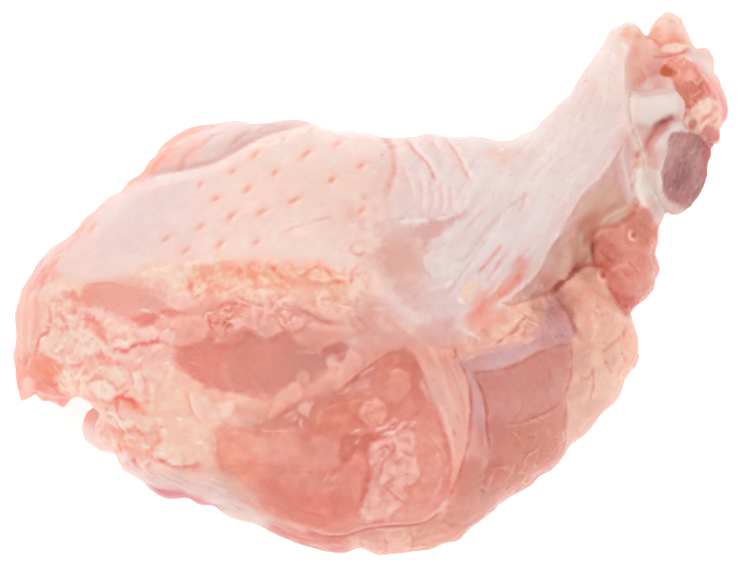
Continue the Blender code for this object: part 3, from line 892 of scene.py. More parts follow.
def paint_neck(skin):
    """The thin neck, its folds and warm streaks."""
    skin.area(NECK, (232, 211, 207), fade=2.6, ragged=1.0)
    neck_zones = (
        ((234, 212, 204), 0.9, 0, 1.8, (398, 132, 440, 125, 520, 130, 545, 118, 540, 150, 500, 160,
            440, 165, 402, 160)),
        ((232, 202, 194), 0.8, 0, 1.0, (393, 140, 406, 138, 412, 165, 412, 212, 400, 216, 392, 190)),
        ((231, 207, 203), 0.8, 0, 1.5, (412, 170, 450, 170, 462, 212, 440, 222, 412, 216)),
        ((234, 192, 180), 0.6, 0, 1.2, (448, 150, 462, 148, 468, 165, 460, 180, 450, 172)),
        ((235, 216, 212), 0.85, 0, 1.8, (465, 165, 520, 168, 545, 165, 530, 200, 500, 215, 465, 210)),
        ((230, 213, 211), 0.8, 0, 1.8, (465, 210, 505, 212, 540, 205, 520, 240, 495, 262, 455, 300,
            430, 290, 440, 250)),
        ((236, 218, 215), 0.9, 0, 1.6, (530, 165, 560, 150, 600, 130, 615, 140, 590, 172, 560, 196,
            535, 205)),
        ((236, 208, 199), 0.85, 0, 1.5, (545, 140, 560, 112, 590, 75, 602, 88, 600, 112, 570, 140)),
        ((242, 215, 203), 0.9, 0, 1.3, (588, 80, 598, 45, 612, 22, 630, 25, 630, 60, 628, 95, 610, 105,
            596, 96)),
        ((241, 220, 214), 0.7, 0, 0.8, (600, 55, 612, 36, 620, 50, 616, 80, 604, 84)),
        ((226, 203, 203), 0.75, 0, 0.9, (566, 206, 574, 186, 590, 172, 618, 138, 626, 142, 610, 165,
            594, 184, 578, 200, 568, 224)),
        ((229, 208, 208), 0.7, 0, 1.0, (530, 240, 548, 214, 562, 208, 560, 228, 546, 244, 532, 268,
            516, 278, 505, 270)),
        ((236, 192, 180), 0.75, 0, 0.7, (488, 150, 512, 149, 540, 150, 545, 156, 520, 164, 510, 169,
            500, 163, 488, 160)),
        ((241, 186, 164), 0.6, 0, 0.6, (490, 152, 500, 152, 505, 162, 492, 160)),
    )
    skin.areas(neck_zones, ragged=0.8)
    slant = (640, 40, 628, 110, 596, 165, 556, 220, 530, 265, 495, 300, 455, 330)
    skin.grain(NECK, slant, 9, 1.2, (241, 228, 225), 0.35, 0.05, 2, seed=60)
    skin.grain(NECK, slant, 8, 0.7, (222, 186, 181), 0.22, -0.03, 2, seed=61, thin=0.07)
    skin.mottle(NECK, 2.6, (229, 198, 190), (239, 222, 218), 0.3, 0.03, 2, seed=66, stretch=(1, 1.6, 1),
        turn=-40)
    skin.area(NECK, (235, 229, 228), 0.22, fade=2)
    # folds where the neck leaves the thick part, each with a painted shade to its left and a painted
    # highlight to its right; the first, broad one is painted shade where the dome's edge overlaps the neck
    faint = (222, 192, 187)
    folds = (
        (0.34, (230, 142, 120), 0.8, -0.25, (380, 134, 388, 142, 392, 150, 394, 160, 394, 170, 391, 182,
            388, 192)),
        (0.14, (236, 158, 136), 0.65, -0.18, (407, 140, 413, 150, 421, 158, 429, 168, 434, 181)),
        (0.13, (236, 160, 138), 0.6, -0.16, (444, 139, 452, 148, 459, 160, 463, 170, 469, 182)),
        (0.12, (232, 190, 176), 0.5, -0.08, (431, 138, 434, 146, 440, 154)),
        (0.2, (222, 186, 178), 0.45, -0.08, (400, 166, 408, 184, 412, 202)),
        (0.14, faint, 0.35, -0.06, (419, 176, 421, 196, 420, 212)),
        (0.14, faint, 0.35, -0.06, (431, 190, 432, 202, 428, 214)),
        (0.14, faint, 0.3, -0.06, (440, 184, 441, 200, 440, 213)),
        (0.14, faint, 0.3, -0.05, (449, 186, 450, 200, 449, 212)),
    )
    for width, tone, cover, depth, path in folds:
        # painted shade left of the fold, the fold itself, and a painted highlight right of it
        skin.line(path, width * 3, (236, 198, 188), 0.4, depth * 0.35, broken=0.3, shift=(-0.3, 0))
        skin.line(path, width, tone, cover, depth * 0.6)
        skin.line(path, width * 2.4, (243, 224, 220), 0.35, 0.08, broken=0.3, shift=(0.45, 0))
    # the soft hollow left of the neck, under a pale edge
    hollow = (
        386, 224, 416, 224, 440, 222, 436, 240, 424, 254, 424, 276, 422, 302, 400, 300, 386, 275, 380, 247
    )
    skin.area(hollow, (228, 187, 176), 0.9, -0.12, fade=1.4, slope=1.4, ragged=0.8)
    skin.mottle(hollow, 2.4, (221, 172, 157), (234, 199, 188), 0.5, 0.05, 1.2, seed=67)
    hollow_zones = (
        ((225, 172, 158), 0.75, 0, 1.0, (381, 248, 396, 242, 412, 248, 416, 264, 400, 274, 384, 268)),
        ((224, 178, 170), 0.85, -0.05, 0.5, (418, 226, 440, 222, 450, 219, 463, 213, 456, 222, 440, 232,
            430, 244, 422, 258, 420, 240, 412, 236)),
        ((228, 208, 204), 0.8, 0.1, 0.5, (422, 262, 430, 252, 436, 262, 436, 278, 428, 274)),
        ((228, 193, 186), 0.7, 0, 1.2, (405, 285, 440, 282, 452, 300, 445, 318, 415, 318)),
        ((226, 206, 206), 0.6, 0, 0.8, (436, 296, 452, 296, 458, 310, 450, 322, 440, 312)),
    )
    skin.areas(hollow_zones, ragged=0.5)
    hollow_edges = (
        (0.22, (240, 222, 216), 0.6, 0.08, (398, 222, 416, 222, 436, 220, 452, 216, 462, 213)),
        (0.14, (222, 172, 160), 0.6, -0.06, (421, 262, 424, 270, 428, 275)),
        (0.2, (238, 220, 216), 0.5, 0.06, (420, 292, 436, 288, 450, 284)),
    )
    skin.lines(hollow_edges)
    # warm streaks low on the neck, and a small yellow fleck of fat
    warm_zones = (
        ((236, 170, 154), 0.75, 0, 0.8, (462, 318, 470, 300, 482, 288, 500, 284, 520, 262, 528, 264,
            520, 284, 500, 302, 480, 322)),
        ((242, 168, 150), 0.6, 0, 0.8, (462, 322, 474, 312, 492, 308, 505, 312, 492, 324, 474, 330)),
    )
    skin.areas(warm_zones, ragged=0.5)
    warm = (240, 148, 124)
    white = (238, 214, 208)
    warm_streaks = (
        (0.5, warm, 0.8, -0.05, (492, 302, 500, 294, 508, 287, 515, 280, 521, 268)),
        (0.35, warm, 0.7, -0.05, (474, 316, 482, 306, 484, 294)),
        (0.2, warm, 0.6, -0.05, (512, 306, 518, 300, 521, 292)),
        (0.14, warm, 0.6, -0.05, (478, 272, 490, 258, 500, 246)),
        (0.14, warm, 0.5, -0.04, (486, 282, 496, 266, 506, 252), (516, 262, 526, 250, 538, 236)),
        (0.3, white, 0.7, 0.08, (492, 310, 502, 302, 514, 298)),
        (0.22, white, 0.7, 0.08, (486, 296, 498, 284, 508, 270)),
        (0.22, white, 0.6, 0.08, (522, 284, 514, 292, 508, 300)),
        (0.25, (226, 208, 206), 0.6, 0.06, (505, 265, 520, 246, 540, 222)),
        (0.16, (222, 188, 184), 0.4, -0.05, (462, 262, 480, 238, 500, 214, 524, 196), (444, 296, 462, 272,
            484, 242), (462, 232, 470, 224, 480, 214)),
        (0.14, (232, 180, 168), 0.4, -0.04, (516, 214, 522, 204, 524, 192)),
    )
    skin.lines(warm_streaks)
    meat_and_fleck = (
        ((223, 160, 148), 0.6, 0, 0.9, (416, 332, 426, 322, 440, 317, 452, 325, 459, 336, 452, 346,
            438, 344, 424, 340)),
        ((238, 206, 182), 0.9, 0.15, 0.3, (457, 298, 462, 288, 470, 279, 477, 278, 475, 288, 467, 297,
            461, 303)),
        ((243, 224, 214), 0.8, 0.08, 0.2, (456, 299, 462, 299, 464, 304, 458, 304)),
    )
    skin.areas(meat_and_fleck)
    # the warm patch at the top, near the elbow
    patch = (622, 26, 645, 30, 660, 45, 652, 60, 655, 76, 648, 90, 634, 94, 628, 70, 632, 52)
    skin.area(patch, (240, 190, 172), 0.8, fade=0.7, ragged=0.6)
    skin.mottle(patch, 1.3, (239, 168, 145), (246, 208, 193), 0.6, 0.08, 0.7, seed=69)
    elbow_specks = (627, 28, 586, 81, 637, 88, 641, 68, 645, 74)
    skin.spots(elbow_specks, 0.2, 0.12, 30, (238, 140, 118), 0.75)
    elbow_lines = (
        (0.14, (250, 216, 200), 0.6, 0.1, (632, 60, 644, 66, 650, 72)),
        (0.12, (232, 150, 130), 0.6, -0.08, (640, 70, 647, 76, 646, 84)),
        (0.12, (236, 150, 130), 0.5, -0.06, (650, 48, 650, 56, 655, 62)),
    )
    skin.lines(elbow_lines)


def paint_band(skin):
    """The ragged, fatty lower edge of the skin."""
    skin.area(YELLOW_BAND, (247, 207, 189), 0.9, 0.1, fade=0.8, ragged=0.9)
    band_zones = (
        ((248, 212, 198), 0.8, 0.05, 0.8, (146, 274, 170, 266, 196, 262, 200, 276, 192, 292, 178, 294,
            160, 284)),
        ((251, 190, 160), 0.75, 0, 0.7, (190, 274, 204, 266, 238, 262, 268, 266, 300, 270, 322, 264,
            345, 276, 340, 290, 312, 290, 280, 290, 262, 294, 232, 295, 205, 290)),
        ((249, 168, 134), 0.75, 0, 0.6, (226, 268, 240, 264, 256, 266, 260, 276, 240, 280, 226, 276)),
        ((246, 176, 148), 0.7, 0, 0.5, (208, 284, 226, 283, 232, 292, 218, 297)),
        ((247, 176, 150), 0.7, 0, 0.5, (196, 270, 210, 268, 214, 276, 200, 278)),
        ((240, 178, 150), 0.75, 0, 0.6, (286, 280, 312, 274, 336, 278, 350, 288, 330, 290, 298, 288,
            284, 294)),
        ((236, 196, 178), 0.8, 0.05, 0.7, (300, 292, 340, 288, 362, 292, 366, 304, 340, 312, 306, 306)),
        ((240, 190, 177), 0.7, 0, 0.6, (258, 296, 300, 294, 326, 300, 330, 308, 300, 309, 268, 306)),
        ((236, 205, 190), 0.8, 0, 0.9, (348, 270, 366, 276, 372, 296, 362, 310, 350, 298, 354, 286)),
    )
    skin.areas(band_zones, ragged=0.6)
    skin.mottle(YELLOW_BAND, 1.3, (244, 176, 150), (252, 222, 207), 0.35, 0.08, 0.6, seed=6)
    curdled = (190, 268, 352, 266, 366, 300, 330, 312, 200, 300)
    skin.mottle(curdled, 0.75, (243, 160, 132), (253, 226, 212), 0.3, 0.08, 0.7, seed=7)
    folded = (240, 276, 352, 276, 366, 300, 330, 312, 240, 304)
    skin.creases(folded, 2.2, 0.2, (242, 164, 140), (252, 222, 208), 0.35, 0.1, 0.7, seed=8, stretch=2.2)
    upper_edge = (140, 276, 158, 270, 190, 264, 214, 261, 238, 260)
    skin.line(upper_edge, 0.4, (251, 226, 213), 0.5, 0.08, wander=0.3)
    red_spot = (194, 286)
    skin.spots(red_spot, 0.35, 0.6, 0, (246, 128, 98), 0.85, -0.05)
    orange_spots = (275, 269, 243, 272)
    skin.spots(orange_spots, 0.5, 0.35, -40, (247, 142, 108), 0.8, -0.05)
    red_lines = (
        (0.28, (246, 138, 104), 0.8, -0.1, (272, 267, 277, 271, 283, 277, 288, 281)),
        (0.18, (242, 142, 110), 0.8, -0.1, (300, 276, 308, 274, 313, 270, 319, 267)),
        (0.16, (240, 148, 118), 0.7, -0.08, (326, 270, 331, 274, 334, 280, 342, 282)),
        (0.16, (240, 120, 100), 0.8, -0.06, (200, 298, 204, 294)),
        (0.2, (243, 120, 98), 0.8, -0.06, (260, 288, 265, 285)),
        (0.14, (238, 130, 108), 0.7, -0.06, (276, 286, 281, 283)),
        (0.16, (240, 150, 126), 0.6, -0.06, (353, 282, 352, 274, 355, 268)),
    )
    skin.lines(red_lines)
    specks = (194, 302, 203, 306, 349, 302, 257, 265, 352, 281)
    skin.spots(specks, 0.16, 0.12, 30, (240, 128, 104), 0.75)
    shaded_end = (322, 294, 356, 292, 356, 312, 322, 312)
    skin.glints(shaded_end, 9, (226, 178, 156), 0.2, 0.14, 0, -0.08, 3, 0.6)


def paint_fat(skin):
    """Curds of fat at the left, with clear meat between them."""
    skin.area(FAT, (249, 204, 189), fade=1, ragged=0.7)
    skin.mottle(FAT, 4.2, (246, 186, 170), (250, 213, 200), 0.6, 0.25, 1, seed=26, octaves=2)
    # broad zones
    fat_zones = (
        ((250, 206, 186), 0.9, 0, 1.4, (146, 378, 178, 366, 205, 384, 240, 398, 258, 412, 225, 420,
            214, 445, 206, 462, 176, 458, 160, 436, 150, 405)),
        ((243, 190, 180), 0.85, 0, 0.7, (119, 352, 135, 352, 150, 345, 178, 348, 182, 360, 165, 364,
            140, 366, 122, 364)),
        ((250, 210, 198), 0.8, 0.1, 0.9, (62, 330, 82, 330, 106, 334, 108, 350, 94, 354, 84, 370, 68, 366,
            62, 350)),
        ((252, 212, 198), 0.8, 0.1, 0.7, (48, 326, 60, 322, 76, 326, 80, 338, 66, 346, 50, 342)),
        ((251, 188, 168), 0.8, 0, 0.8, (88, 356, 100, 353, 112, 360, 104, 372, 88, 371)),
        ((252, 207, 186), 0.9, 0.1, 0.7, (58, 376, 70, 368, 96, 370, 118, 368, 136, 372, 134, 392, 120, 398,
            96, 402, 66, 394)),
        ((252, 196, 172), 0.8, 0, 0.5, (78, 388, 92, 386, 100, 396, 96, 402, 82, 400)),
        ((250, 206, 190), 0.85, 0, 0.8, (138, 370, 160, 368, 168, 388, 150, 398, 140, 392)),
        ((251, 192, 172), 0.8, 0, 0.8, (116, 428, 140, 424, 158, 428, 160, 442, 146, 456, 128, 446)),
        ((247, 200, 186), 0.8, 0, 0.6, (104, 424, 112, 424, 120, 440, 118, 452, 110, 450, 105, 440)),
        ((245, 187, 165), 0.7, 0, 0.8, (196, 384, 215, 392, 232, 396, 250, 400, 238, 404, 214, 398)),
        ((240, 200, 188), 0.85, 0, 0.9, (160, 466, 184, 464, 215, 462, 222, 474, 200, 482, 170, 478)),
    )
    skin.areas(fat_zones, ragged=0.6)
    # the lobes that stand out
    curds = (
        ((249, 209, 194), 0.25, (54, 306, 66, 303, 80, 307, 82, 320, 74, 328, 60, 326)),
        ((245, 212, 204), 0.25, (80, 306, 86, 303, 91, 308, 89, 316, 84, 318, 81, 312)),
        ((243, 204, 194), 0.2, (90, 309, 100, 308, 112, 312, 116, 320, 108, 324, 98, 318)),
        ((246, 211, 202), 0.3, (118, 338, 128, 340, 137, 340, 136, 346, 130, 350, 121, 348)),
        ((243, 197, 186), 0.35, (133, 338, 136, 331, 146, 328, 158, 326, 166, 330, 162, 338, 150, 341,
            138, 344)),
        ((247, 202, 187), 0.2, (110, 322, 120, 318, 134, 324, 132, 334, 118, 338, 112, 332)),
        ((249, 209, 186), 0.2, (55, 380, 64, 371, 72, 374, 80, 384, 78, 394, 66, 394, 60, 386)),
        # the next two are pale patches of painted highlight on the fat
        ((252, 222, 211), 0.3, (97, 381, 106, 379, 118, 384, 118, 394, 106, 396, 99, 390)),
        ((250, 216, 205), 0.2, (74, 376, 82, 372, 88, 376, 86, 381, 77, 380)),
        ((252, 214, 202), 0.25, (114, 410, 126, 408, 140, 412, 142, 424, 128, 428, 116, 422)),
        ((247, 210, 193), 0.15, (195, 392, 204, 393, 218, 402, 236, 402, 232, 412, 214, 416, 200, 414,
            196, 402)),
        ((248, 213, 197), 0.2, (157, 442, 168, 440, 180, 446, 184, 456, 168, 457, 158, 450)),
        ((247, 213, 208), 0.2, (118, 449, 130, 448, 136, 456, 132, 466, 122, 462)),
        ((245, 213, 208), 0.2, (140, 457, 150, 459, 152, 468, 144, 467)),
        ((250, 198, 188), 0.1, (123, 396, 126, 392, 132, 391, 136, 395, 130, 396)),
        ((250, 206, 192), 0.25, (52, 334, 60, 330, 70, 334, 72, 344, 64, 352, 54, 348)),
        ((252, 214, 201), 0.3, (72, 322, 80, 318, 92, 322, 98, 332, 92, 340, 80, 338, 72, 332)),
        ((251, 205, 190), 0.2, (66, 348, 76, 343, 88, 347, 88, 356, 78, 362, 66, 358)),
        ((250, 210, 198), 0.25, (84, 343, 94, 337, 104, 341, 108, 350, 98, 354, 88, 352)),
        ((253, 202, 183), 0.2, (88, 362, 98, 357, 108, 360, 110, 368, 100, 374, 90, 370)),
        ((253, 215, 202), 0.2, (104, 368, 116, 365, 128, 369, 132, 380, 122, 388, 110, 382)),
        ((252, 205, 184), 0.2, (83, 386, 92, 381, 99, 387, 98, 397, 88, 400, 82, 394)),
        ((251, 213, 202), 0.2, (136, 373, 142, 368, 148, 372, 150, 384, 146, 392, 139, 386)),
        ((251, 198, 178), 0.2, (139, 415, 150, 413, 158, 420, 152, 430, 142, 428)),
        ((251, 192, 173), 0.15, (128, 432, 140, 429, 150, 434, 148, 446, 136, 448, 128, 442)),
        ((248, 205, 194), 0.15, (104, 427, 112, 424, 118, 434, 118, 448, 110, 450, 104, 440)),
    )
    skin.lobes(curds, (243, 172, 156), ragged=0.35)
    folded = (
        48, 296, 120, 320, 180, 330, 180, 366, 150, 380, 150, 440, 160, 470, 120, 480, 80, 430, 88, 402,
        55, 390, 44, 350
    )
    skin.creases(folded, 2.8, 0.2, (245, 162, 144), (253, 222, 211), 0.4, 0.18, 0.8, seed=22, keep=0.35)
    skin.mottle(FAT, 1.0, (247, 186, 170), (253, 224, 213), 0.2, 0.06, 0.8, seed=23)
    cloudy = (48, 296, 120, 320, 175, 350, 150, 440, 160, 470, 120, 480, 80, 430, 88, 402, 55, 390, 44, 350)
    skin.mottle(cloudy, 1.7, (247, 186, 170), (253, 221, 210), 0.35, 0.1, 0.8, seed=27)
    # hollows and clear meat between the lobes
    hollows = (
        ((248, 178, 158), 0.7, -0.1, 0.4, (100, 354, 110, 352, 116, 360, 112, 366, 102, 362)),
        ((243, 168, 152), 0.85, -0.15, 0.45, (90, 316, 98, 317, 104, 322, 108, 334, 112, 344, 104, 338,
            96, 330, 88, 326)),
        ((247, 168, 148), 0.75, -0.1, 0.35, (76, 292, 81, 297, 82, 304, 79, 313, 77, 304)),
        ((241, 172, 164), 0.75, -0.05, 0.35, (64, 293, 70, 291, 73, 296, 68, 299)),
        ((251, 168, 144), 0.7, -0.1, 0.4, (124, 434, 129, 436, 127, 448, 122, 448)),
        ((253, 168, 142), 0.85, -0.1, 0.5, (126, 399, 138, 398, 146, 404, 152, 414, 140, 409, 130, 405)),
        ((252, 176, 152), 0.8, -0.1, 0.4, (160, 430, 166, 438, 161, 446, 156, 452, 160, 459, 152, 452,
            152, 444, 158, 438)),
    )
    skin.areas(hollows, ragged=0.3)
    channels = (
        (0.2, (240, 138, 120), 0.85, -0.2, (117, 351, 122, 348, 130, 350, 136, 346, 143, 343, 152, 342,
            164, 340)),
        (0.16, (244, 142, 122), 0.85, -0.15, (52, 326, 49, 333, 43, 337, 40, 344, 38, 349)),
        (0.14, (247, 172, 158), 0.6, -0.1, (52, 304, 53, 316, 52, 326)),
        (0.13, (248, 176, 156), 0.6, -0.08, (93, 383, 97, 379, 106, 377, 115, 380, 120, 387)),
        (0.14, (247, 170, 152), 0.6, -0.08, (133, 370, 137, 380, 135, 387, 128, 391)),
        (0.14, (247, 176, 158), 0.6, -0.08, (146, 372, 149, 380, 148, 390)),
        (0.24, (252, 220, 210), 0.6, 0.1, (138, 369, 141, 378, 142, 388)),
        (0.14, (248, 178, 150), 0.6, -0.08, (191, 391, 193, 402, 197, 412, 201, 418)),
        (0.16, (252, 224, 210), 0.6, 0.08, (194, 392, 196, 402, 199, 410)),
        (0.12, (248, 172, 152), 0.6, -0.08, (142, 402, 150, 400, 158, 399)),
        (0.13, (248, 170, 152), 0.55, -0.08, (140, 428, 148, 434, 150, 442)),
        (0.2, (238, 140, 122), 0.85, -0.2, (160, 457, 167, 459, 174, 462, 184, 464, 200, 462)),
        (0.5, (236, 168, 150), 0.6, -0.1, (178, 464, 192, 465, 210, 463)),
        (0.14, (248, 134, 114), 0.85, -0.12, (137, 455, 138, 462, 142, 468)),
        (0.12, (250, 170, 156), 0.6, -0.08, (104, 398, 114, 402, 122, 402)),
        (0.2, (248, 172, 156), 0.45, -0.08, (62, 328, 70, 326, 78, 320, 88, 318)),
        (0.3, (247, 168, 150), 0.5, -0.1, (60, 362, 74, 366, 90, 362, 100, 356), (110, 366, 124, 362,
            140, 368, 150, 364)),
        (0.3, (248, 160, 142), 0.6, -0.12, (106, 446, 116, 452, 128, 446, 140, 450)),
        (0.26, (248, 160, 142), 0.6, -0.1, (102, 404, 114, 408, 130, 408)),
        (0.26, (248, 164, 146), 0.55, -0.1, (108, 422, 122, 430, 136, 428, 150, 432)),
    )
    skin.lines(channels, broken=0.4)
    deep_channel = (119, 400, 123, 396, 129, 397, 135, 399, 139, 404)
    skin.line(deep_channel, 0.24, (255, 132, 108), 0.95, -0.3, broken=0.1)
    fine_channel = (121, 396, 126, 393, 132, 389)
    skin.line(fine_channel, 0.14, (250, 140, 118), 0.75, -0.12)
    # painted glints of light on the wet fat
    upper_glint_area = (48, 300, 120, 322, 175, 352, 148, 382, 60, 392, 44, 340)
    skin.glints(upper_glint_area, 26, (255, 234, 226), 0.42, 0.13, 20, 0.05, 28, 0.75)
    lower_glint_area = (96, 400, 190, 390, 205, 455, 125, 462, 96, 430)
    skin.glints(lower_glint_area, 14, (255, 234, 226), 0.4, 0.13, 10, 0.05, 29, 0.7)
    red_specks = (165, 425, 147, 412)
    skin.spots(red_specks, 0.18, 0.13, 0, (240, 140, 116), 0.8, -0.08)
    pale_film = (168, 428)
    skin.spots(pale_film, 0.4, 0.18, -40, (252, 232, 220), 0.8, 0.1)
    pale_bead = (73, 316)
    skin.spots(pale_bead, 0.55, 0.2, 0, (252, 226, 217), 0.8, 0.1)


def paint_flap(skin):
    """The raw edge at the lower left and its hanging tips."""
    flap_zones = (
        ((249, 168, 148), 0.95, 0, 0.5, (10, 366, 24, 358, 34, 352, 42, 350, 52, 358, 66, 366, 56, 378,
            66, 394, 80, 404, 60, 415, 10, 412)),
        ((254, 158, 128), 0.9, 0, 0.5, (42, 354, 50, 358, 64, 366, 60, 374, 50, 378, 40, 370)),
        ((249, 160, 142), 0.85, -0.1, 0.4, (34, 382, 44, 380, 54, 382, 60, 390, 48, 392, 36, 390)),
        ((247, 172, 158), 0.85, 0, 0.4, (40, 392, 52, 391, 64, 392, 70, 398, 64, 408, 54, 406, 46, 399)),
        ((247, 196, 184), 0.9, 0.15, 0.35, (18, 394, 22, 384, 30, 376, 36, 380, 33, 390, 26, 400, 18, 402)),
    )
    skin.areas(flap_zones, ragged=0.3)
    raw_edge = (15, 360, 42, 351, 66, 368, 66, 396, 40, 396, 15, 400)
    skin.mottle(raw_edge, 1.5, (245, 150, 130), (251, 190, 174), 0.4, 0.08, 0.4, seed=24,
        stretch=(1, 1.7, 1), turn=20)
    flap_lines = (
        (0.14, (244, 150, 134), 0.7, -0.08, (37, 352, 31, 361, 25, 370, 22, 378)),
        (0.14, (250, 206, 196), 0.6, 0.08, (34, 356, 29, 364, 24, 372)),
        (0.13, (251, 210, 200), 0.6, 0.06, (54, 364, 58, 368, 61, 372)),
        (0.12, (243, 138, 118), 0.6, -0.06, (52, 362, 55, 368)),
        (0.2, (246, 208, 203), 0.75, 0.1, (36, 391, 46, 395, 56, 397, 66, 397)),
        (0.14, (240, 150, 138), 0.6, -0.08, (44, 380, 52, 386, 62, 394)),
    )
    skin.lines(flap_lines)


def paint_windows(skin):
    """Muscle that shows through between the fat: a small and a large opening."""
    skin.area(SMALL_WINDOW, (242, 177, 162), 0.95, 0.1, fade=0.4, slope=0.9, ragged=0.3, gloss=0.3)
    small_zones = (
        ((243, 168, 150), 0.7, 0, 0.5, (80, 300, 86, 292, 96, 288, 100, 300, 90, 306)),
        ((239, 174, 162), 0.7, 0, 0.6, (136, 296, 166, 299, 176, 309, 170, 313, 140, 308)),
        ((236, 142, 126), 0.9, -0.12, 0.5, (136, 319, 148, 313, 160, 312, 175, 311, 184, 312, 172, 317,
            160, 321, 150, 325, 142, 323)),
        ((246, 204, 192), 0.8, 0.1, 0.4, (88, 309, 100, 307, 114, 312, 128, 318, 118, 322, 104, 318)),
        ((247, 200, 190), 0.8, 0.08, 0.6, (166, 296, 180, 294, 200, 298, 204, 306, 190, 310, 176, 308)),
    )
    skin.areas(small_zones, ragged=0.35)
    small_lines = (
        (0.14, (240, 150, 132), 0.6, -0.06, (84, 292, 90, 285, 102, 284, 114, 283, 124, 286)),
        (0.1, (238, 156, 142), 0.5, -0.05, (124, 287, 140, 289, 154, 292, 166, 298)),
        (0.16, (236, 134, 116), 0.75, -0.1, (164, 312, 174, 310, 182, 312, 190, 313)),
        (0.12, (246, 212, 205), 0.6, 0.06, (150, 292, 160, 295, 168, 300)),
    )
    skin.lines(small_lines)
    # painted glints of light in the small opening
    window_glints = (147, 310, 151, 311, 166, 316)
    skin.spots(window_glints, 0.38, 0.18, -10, (250, 214, 206), 0.8, 0.1)
    red_specks = (122, 304, 88, 292)
    skin.spots(red_specks, 0.16, 0.12, 30, (240, 120, 100), 0.7)
    # the clear, lumpy tissue between the two openings
    middle = (
        184, 312, 206, 300, 240, 298, 280, 304, 300, 314, 306, 330, 280, 336, 240, 340, 206, 344, 186, 340
    )
    skin.area(middle, (237, 174, 160), 0.9, fade=0.7, ragged=0.6)
    middle_zones = (
        ((238, 160, 143), 0.8, -0.05, 0.5, (214, 306, 236, 300, 256, 303, 250, 316, 236, 320, 216, 320)),
        ((226, 124, 106), 0.85, -0.15, 0.35, (210, 320, 222, 320, 234, 319, 230, 328, 222, 328, 216, 330)),
        ((240, 192, 178), 0.8, 0.1, 0.4, (252, 302, 268, 300, 272, 310, 262, 314, 252, 312)),
        ((225, 160, 148), 0.8, -0.1, 0.6, (286, 306, 304, 308, 318, 314, 340, 318, 360, 318, 356, 326,
            330, 326, 308, 322, 292, 316)),
        ((227, 166, 153), 0.85, 0, 0.9, (304, 322, 330, 326, 360, 326, 368, 344, 350, 350, 330, 338,
            312, 346, 300, 334)),
        ((230, 176, 164), 0.8, 0, 0.8, (345, 324, 372, 322, 380, 336, 368, 350, 352, 344)),
    )
    skin.areas(middle_zones, ragged=0.4)
    lumpy = (206, 302, 284, 300, 300, 316, 290, 330, 240, 334, 214, 330)
    skin.creases(lumpy, 1.3, 0.12, (226, 130, 114), (248, 210, 200), 0.5, 0.15, 0.6, seed=72)
    # painted glints on the shiny, lumpy tissue
    lumpy_glints = (214, 306, 250, 304, 250, 318, 216, 318)
    skin.glints(lumpy_glints, 12, (247, 208, 196), 0.3, 0.12, 0, 0.1, 73, 0.7)
    gel_lobes = (
        ((238, 178, 163), 0.35, (176, 330, 180, 320, 192, 316, 206, 318, 213, 328, 208, 340, 196, 343,
            182, 345)),
        ((243, 198, 191), 0.4, (163, 336, 167, 330, 174, 329, 180, 334, 179, 341, 172, 343)),
        ((232, 166, 154), 0.25, (216, 322, 224, 322, 227, 328, 222, 332, 216, 330)),
        ((231, 161, 147), 0.35, (219, 340, 223, 333, 232, 329, 244, 330, 246, 337, 234, 342, 224, 343)),
        ((240, 198, 188), 0.35, (234, 319, 240, 317, 245, 320, 245, 326, 238, 326)),
        ((238, 184, 170), 0.3, (246, 312, 254, 310, 260, 318, 257, 328, 248, 328)),
        ((236, 182, 168), 0.35, (258, 331, 262, 320, 272, 315, 282, 320, 281, 332, 270, 337, 264, 337)),
        ((230, 175, 163), 0.25, (290, 326, 295, 318, 304, 316, 307, 322, 299, 329)),
    )
    skin.lobes(gel_lobes, (222, 130, 114), 0.25, gloss=0.3)
    # painted highlights on the tops of the lobes
    lobe_highlights = (221, 339, 261, 332, 296, 318)
    skin.spots(lobe_highlights, 0.32, 0.25, 0, (246, 208, 200), 0.7, 0.1)
    middle_lines = (
        (0.14, (238, 132, 112), 0.75, -0.1, (222, 307, 230, 303, 238, 304, 248, 304)),
        (0.14, (230, 120, 102), 0.7, -0.1, (210, 320, 216, 322, 226, 322)),
        (0.14, (240, 144, 122), 0.7, -0.08, (178, 346, 186, 348, 198, 346)),
        (0.16, (214, 140, 128), 0.6, -0.1, (300, 309, 312, 314, 322, 320, 332, 322)),
        (0.12, (222, 130, 116), 0.6, -0.06, (304, 328, 300, 330, 296, 332)),
        (0.12, (226, 110, 96), 0.7, -0.06, (284, 333, 289, 332)),
        (0.12, (232, 120, 104), 0.7, -0.06, (270, 315, 276, 315, 280, 318)),
    )
    skin.lines(middle_lines, broken=0.3)
    shelf = (306, 346, 306, 336, 318, 330, 334, 326, 346, 332, 330, 342, 320, 352)
    skin.area(shelf, (226, 158, 144), 0.8, 0.1, fade=0.5, ragged=0.35, gloss=0.32)
    skin.area(WINDOW, (226, 148, 134), 0.97, 0.2, fade=0.35, slope=1.6, ragged=0.35, gloss=0.26)
    window_zones = (
        ((236, 146, 130), 0.85, 0, 1.1, (180, 356, 190, 345, 214, 338, 232, 346, 226, 370, 210, 380,
            194, 372)),
        ((225, 146, 132), 0.7, 0, 1.2, (238, 340, 262, 342, 292, 350, 292, 372, 270, 380, 240, 374)),
        ((219, 141, 128), 0.6, 0, 0.8, (262, 372, 278, 366, 286, 376, 276, 390, 264, 388)),
        ((215, 146, 134), 0.8, 0, 0.9, (290, 345, 312, 350, 328, 356, 325, 374, 305, 380, 290, 368)),
        ((226, 146, 132), 0.6, 0, 0.5, (196, 370, 214, 378, 236, 386, 250, 390, 232, 391, 212, 385)),
    )
    skin.areas(window_zones, ragged=0.4, gloss=0.26)
    skin.mottle(WINDOW, 2.6, (222, 138, 124), (231, 158, 144), 0.3, 0.02, 0.6, seed=75)
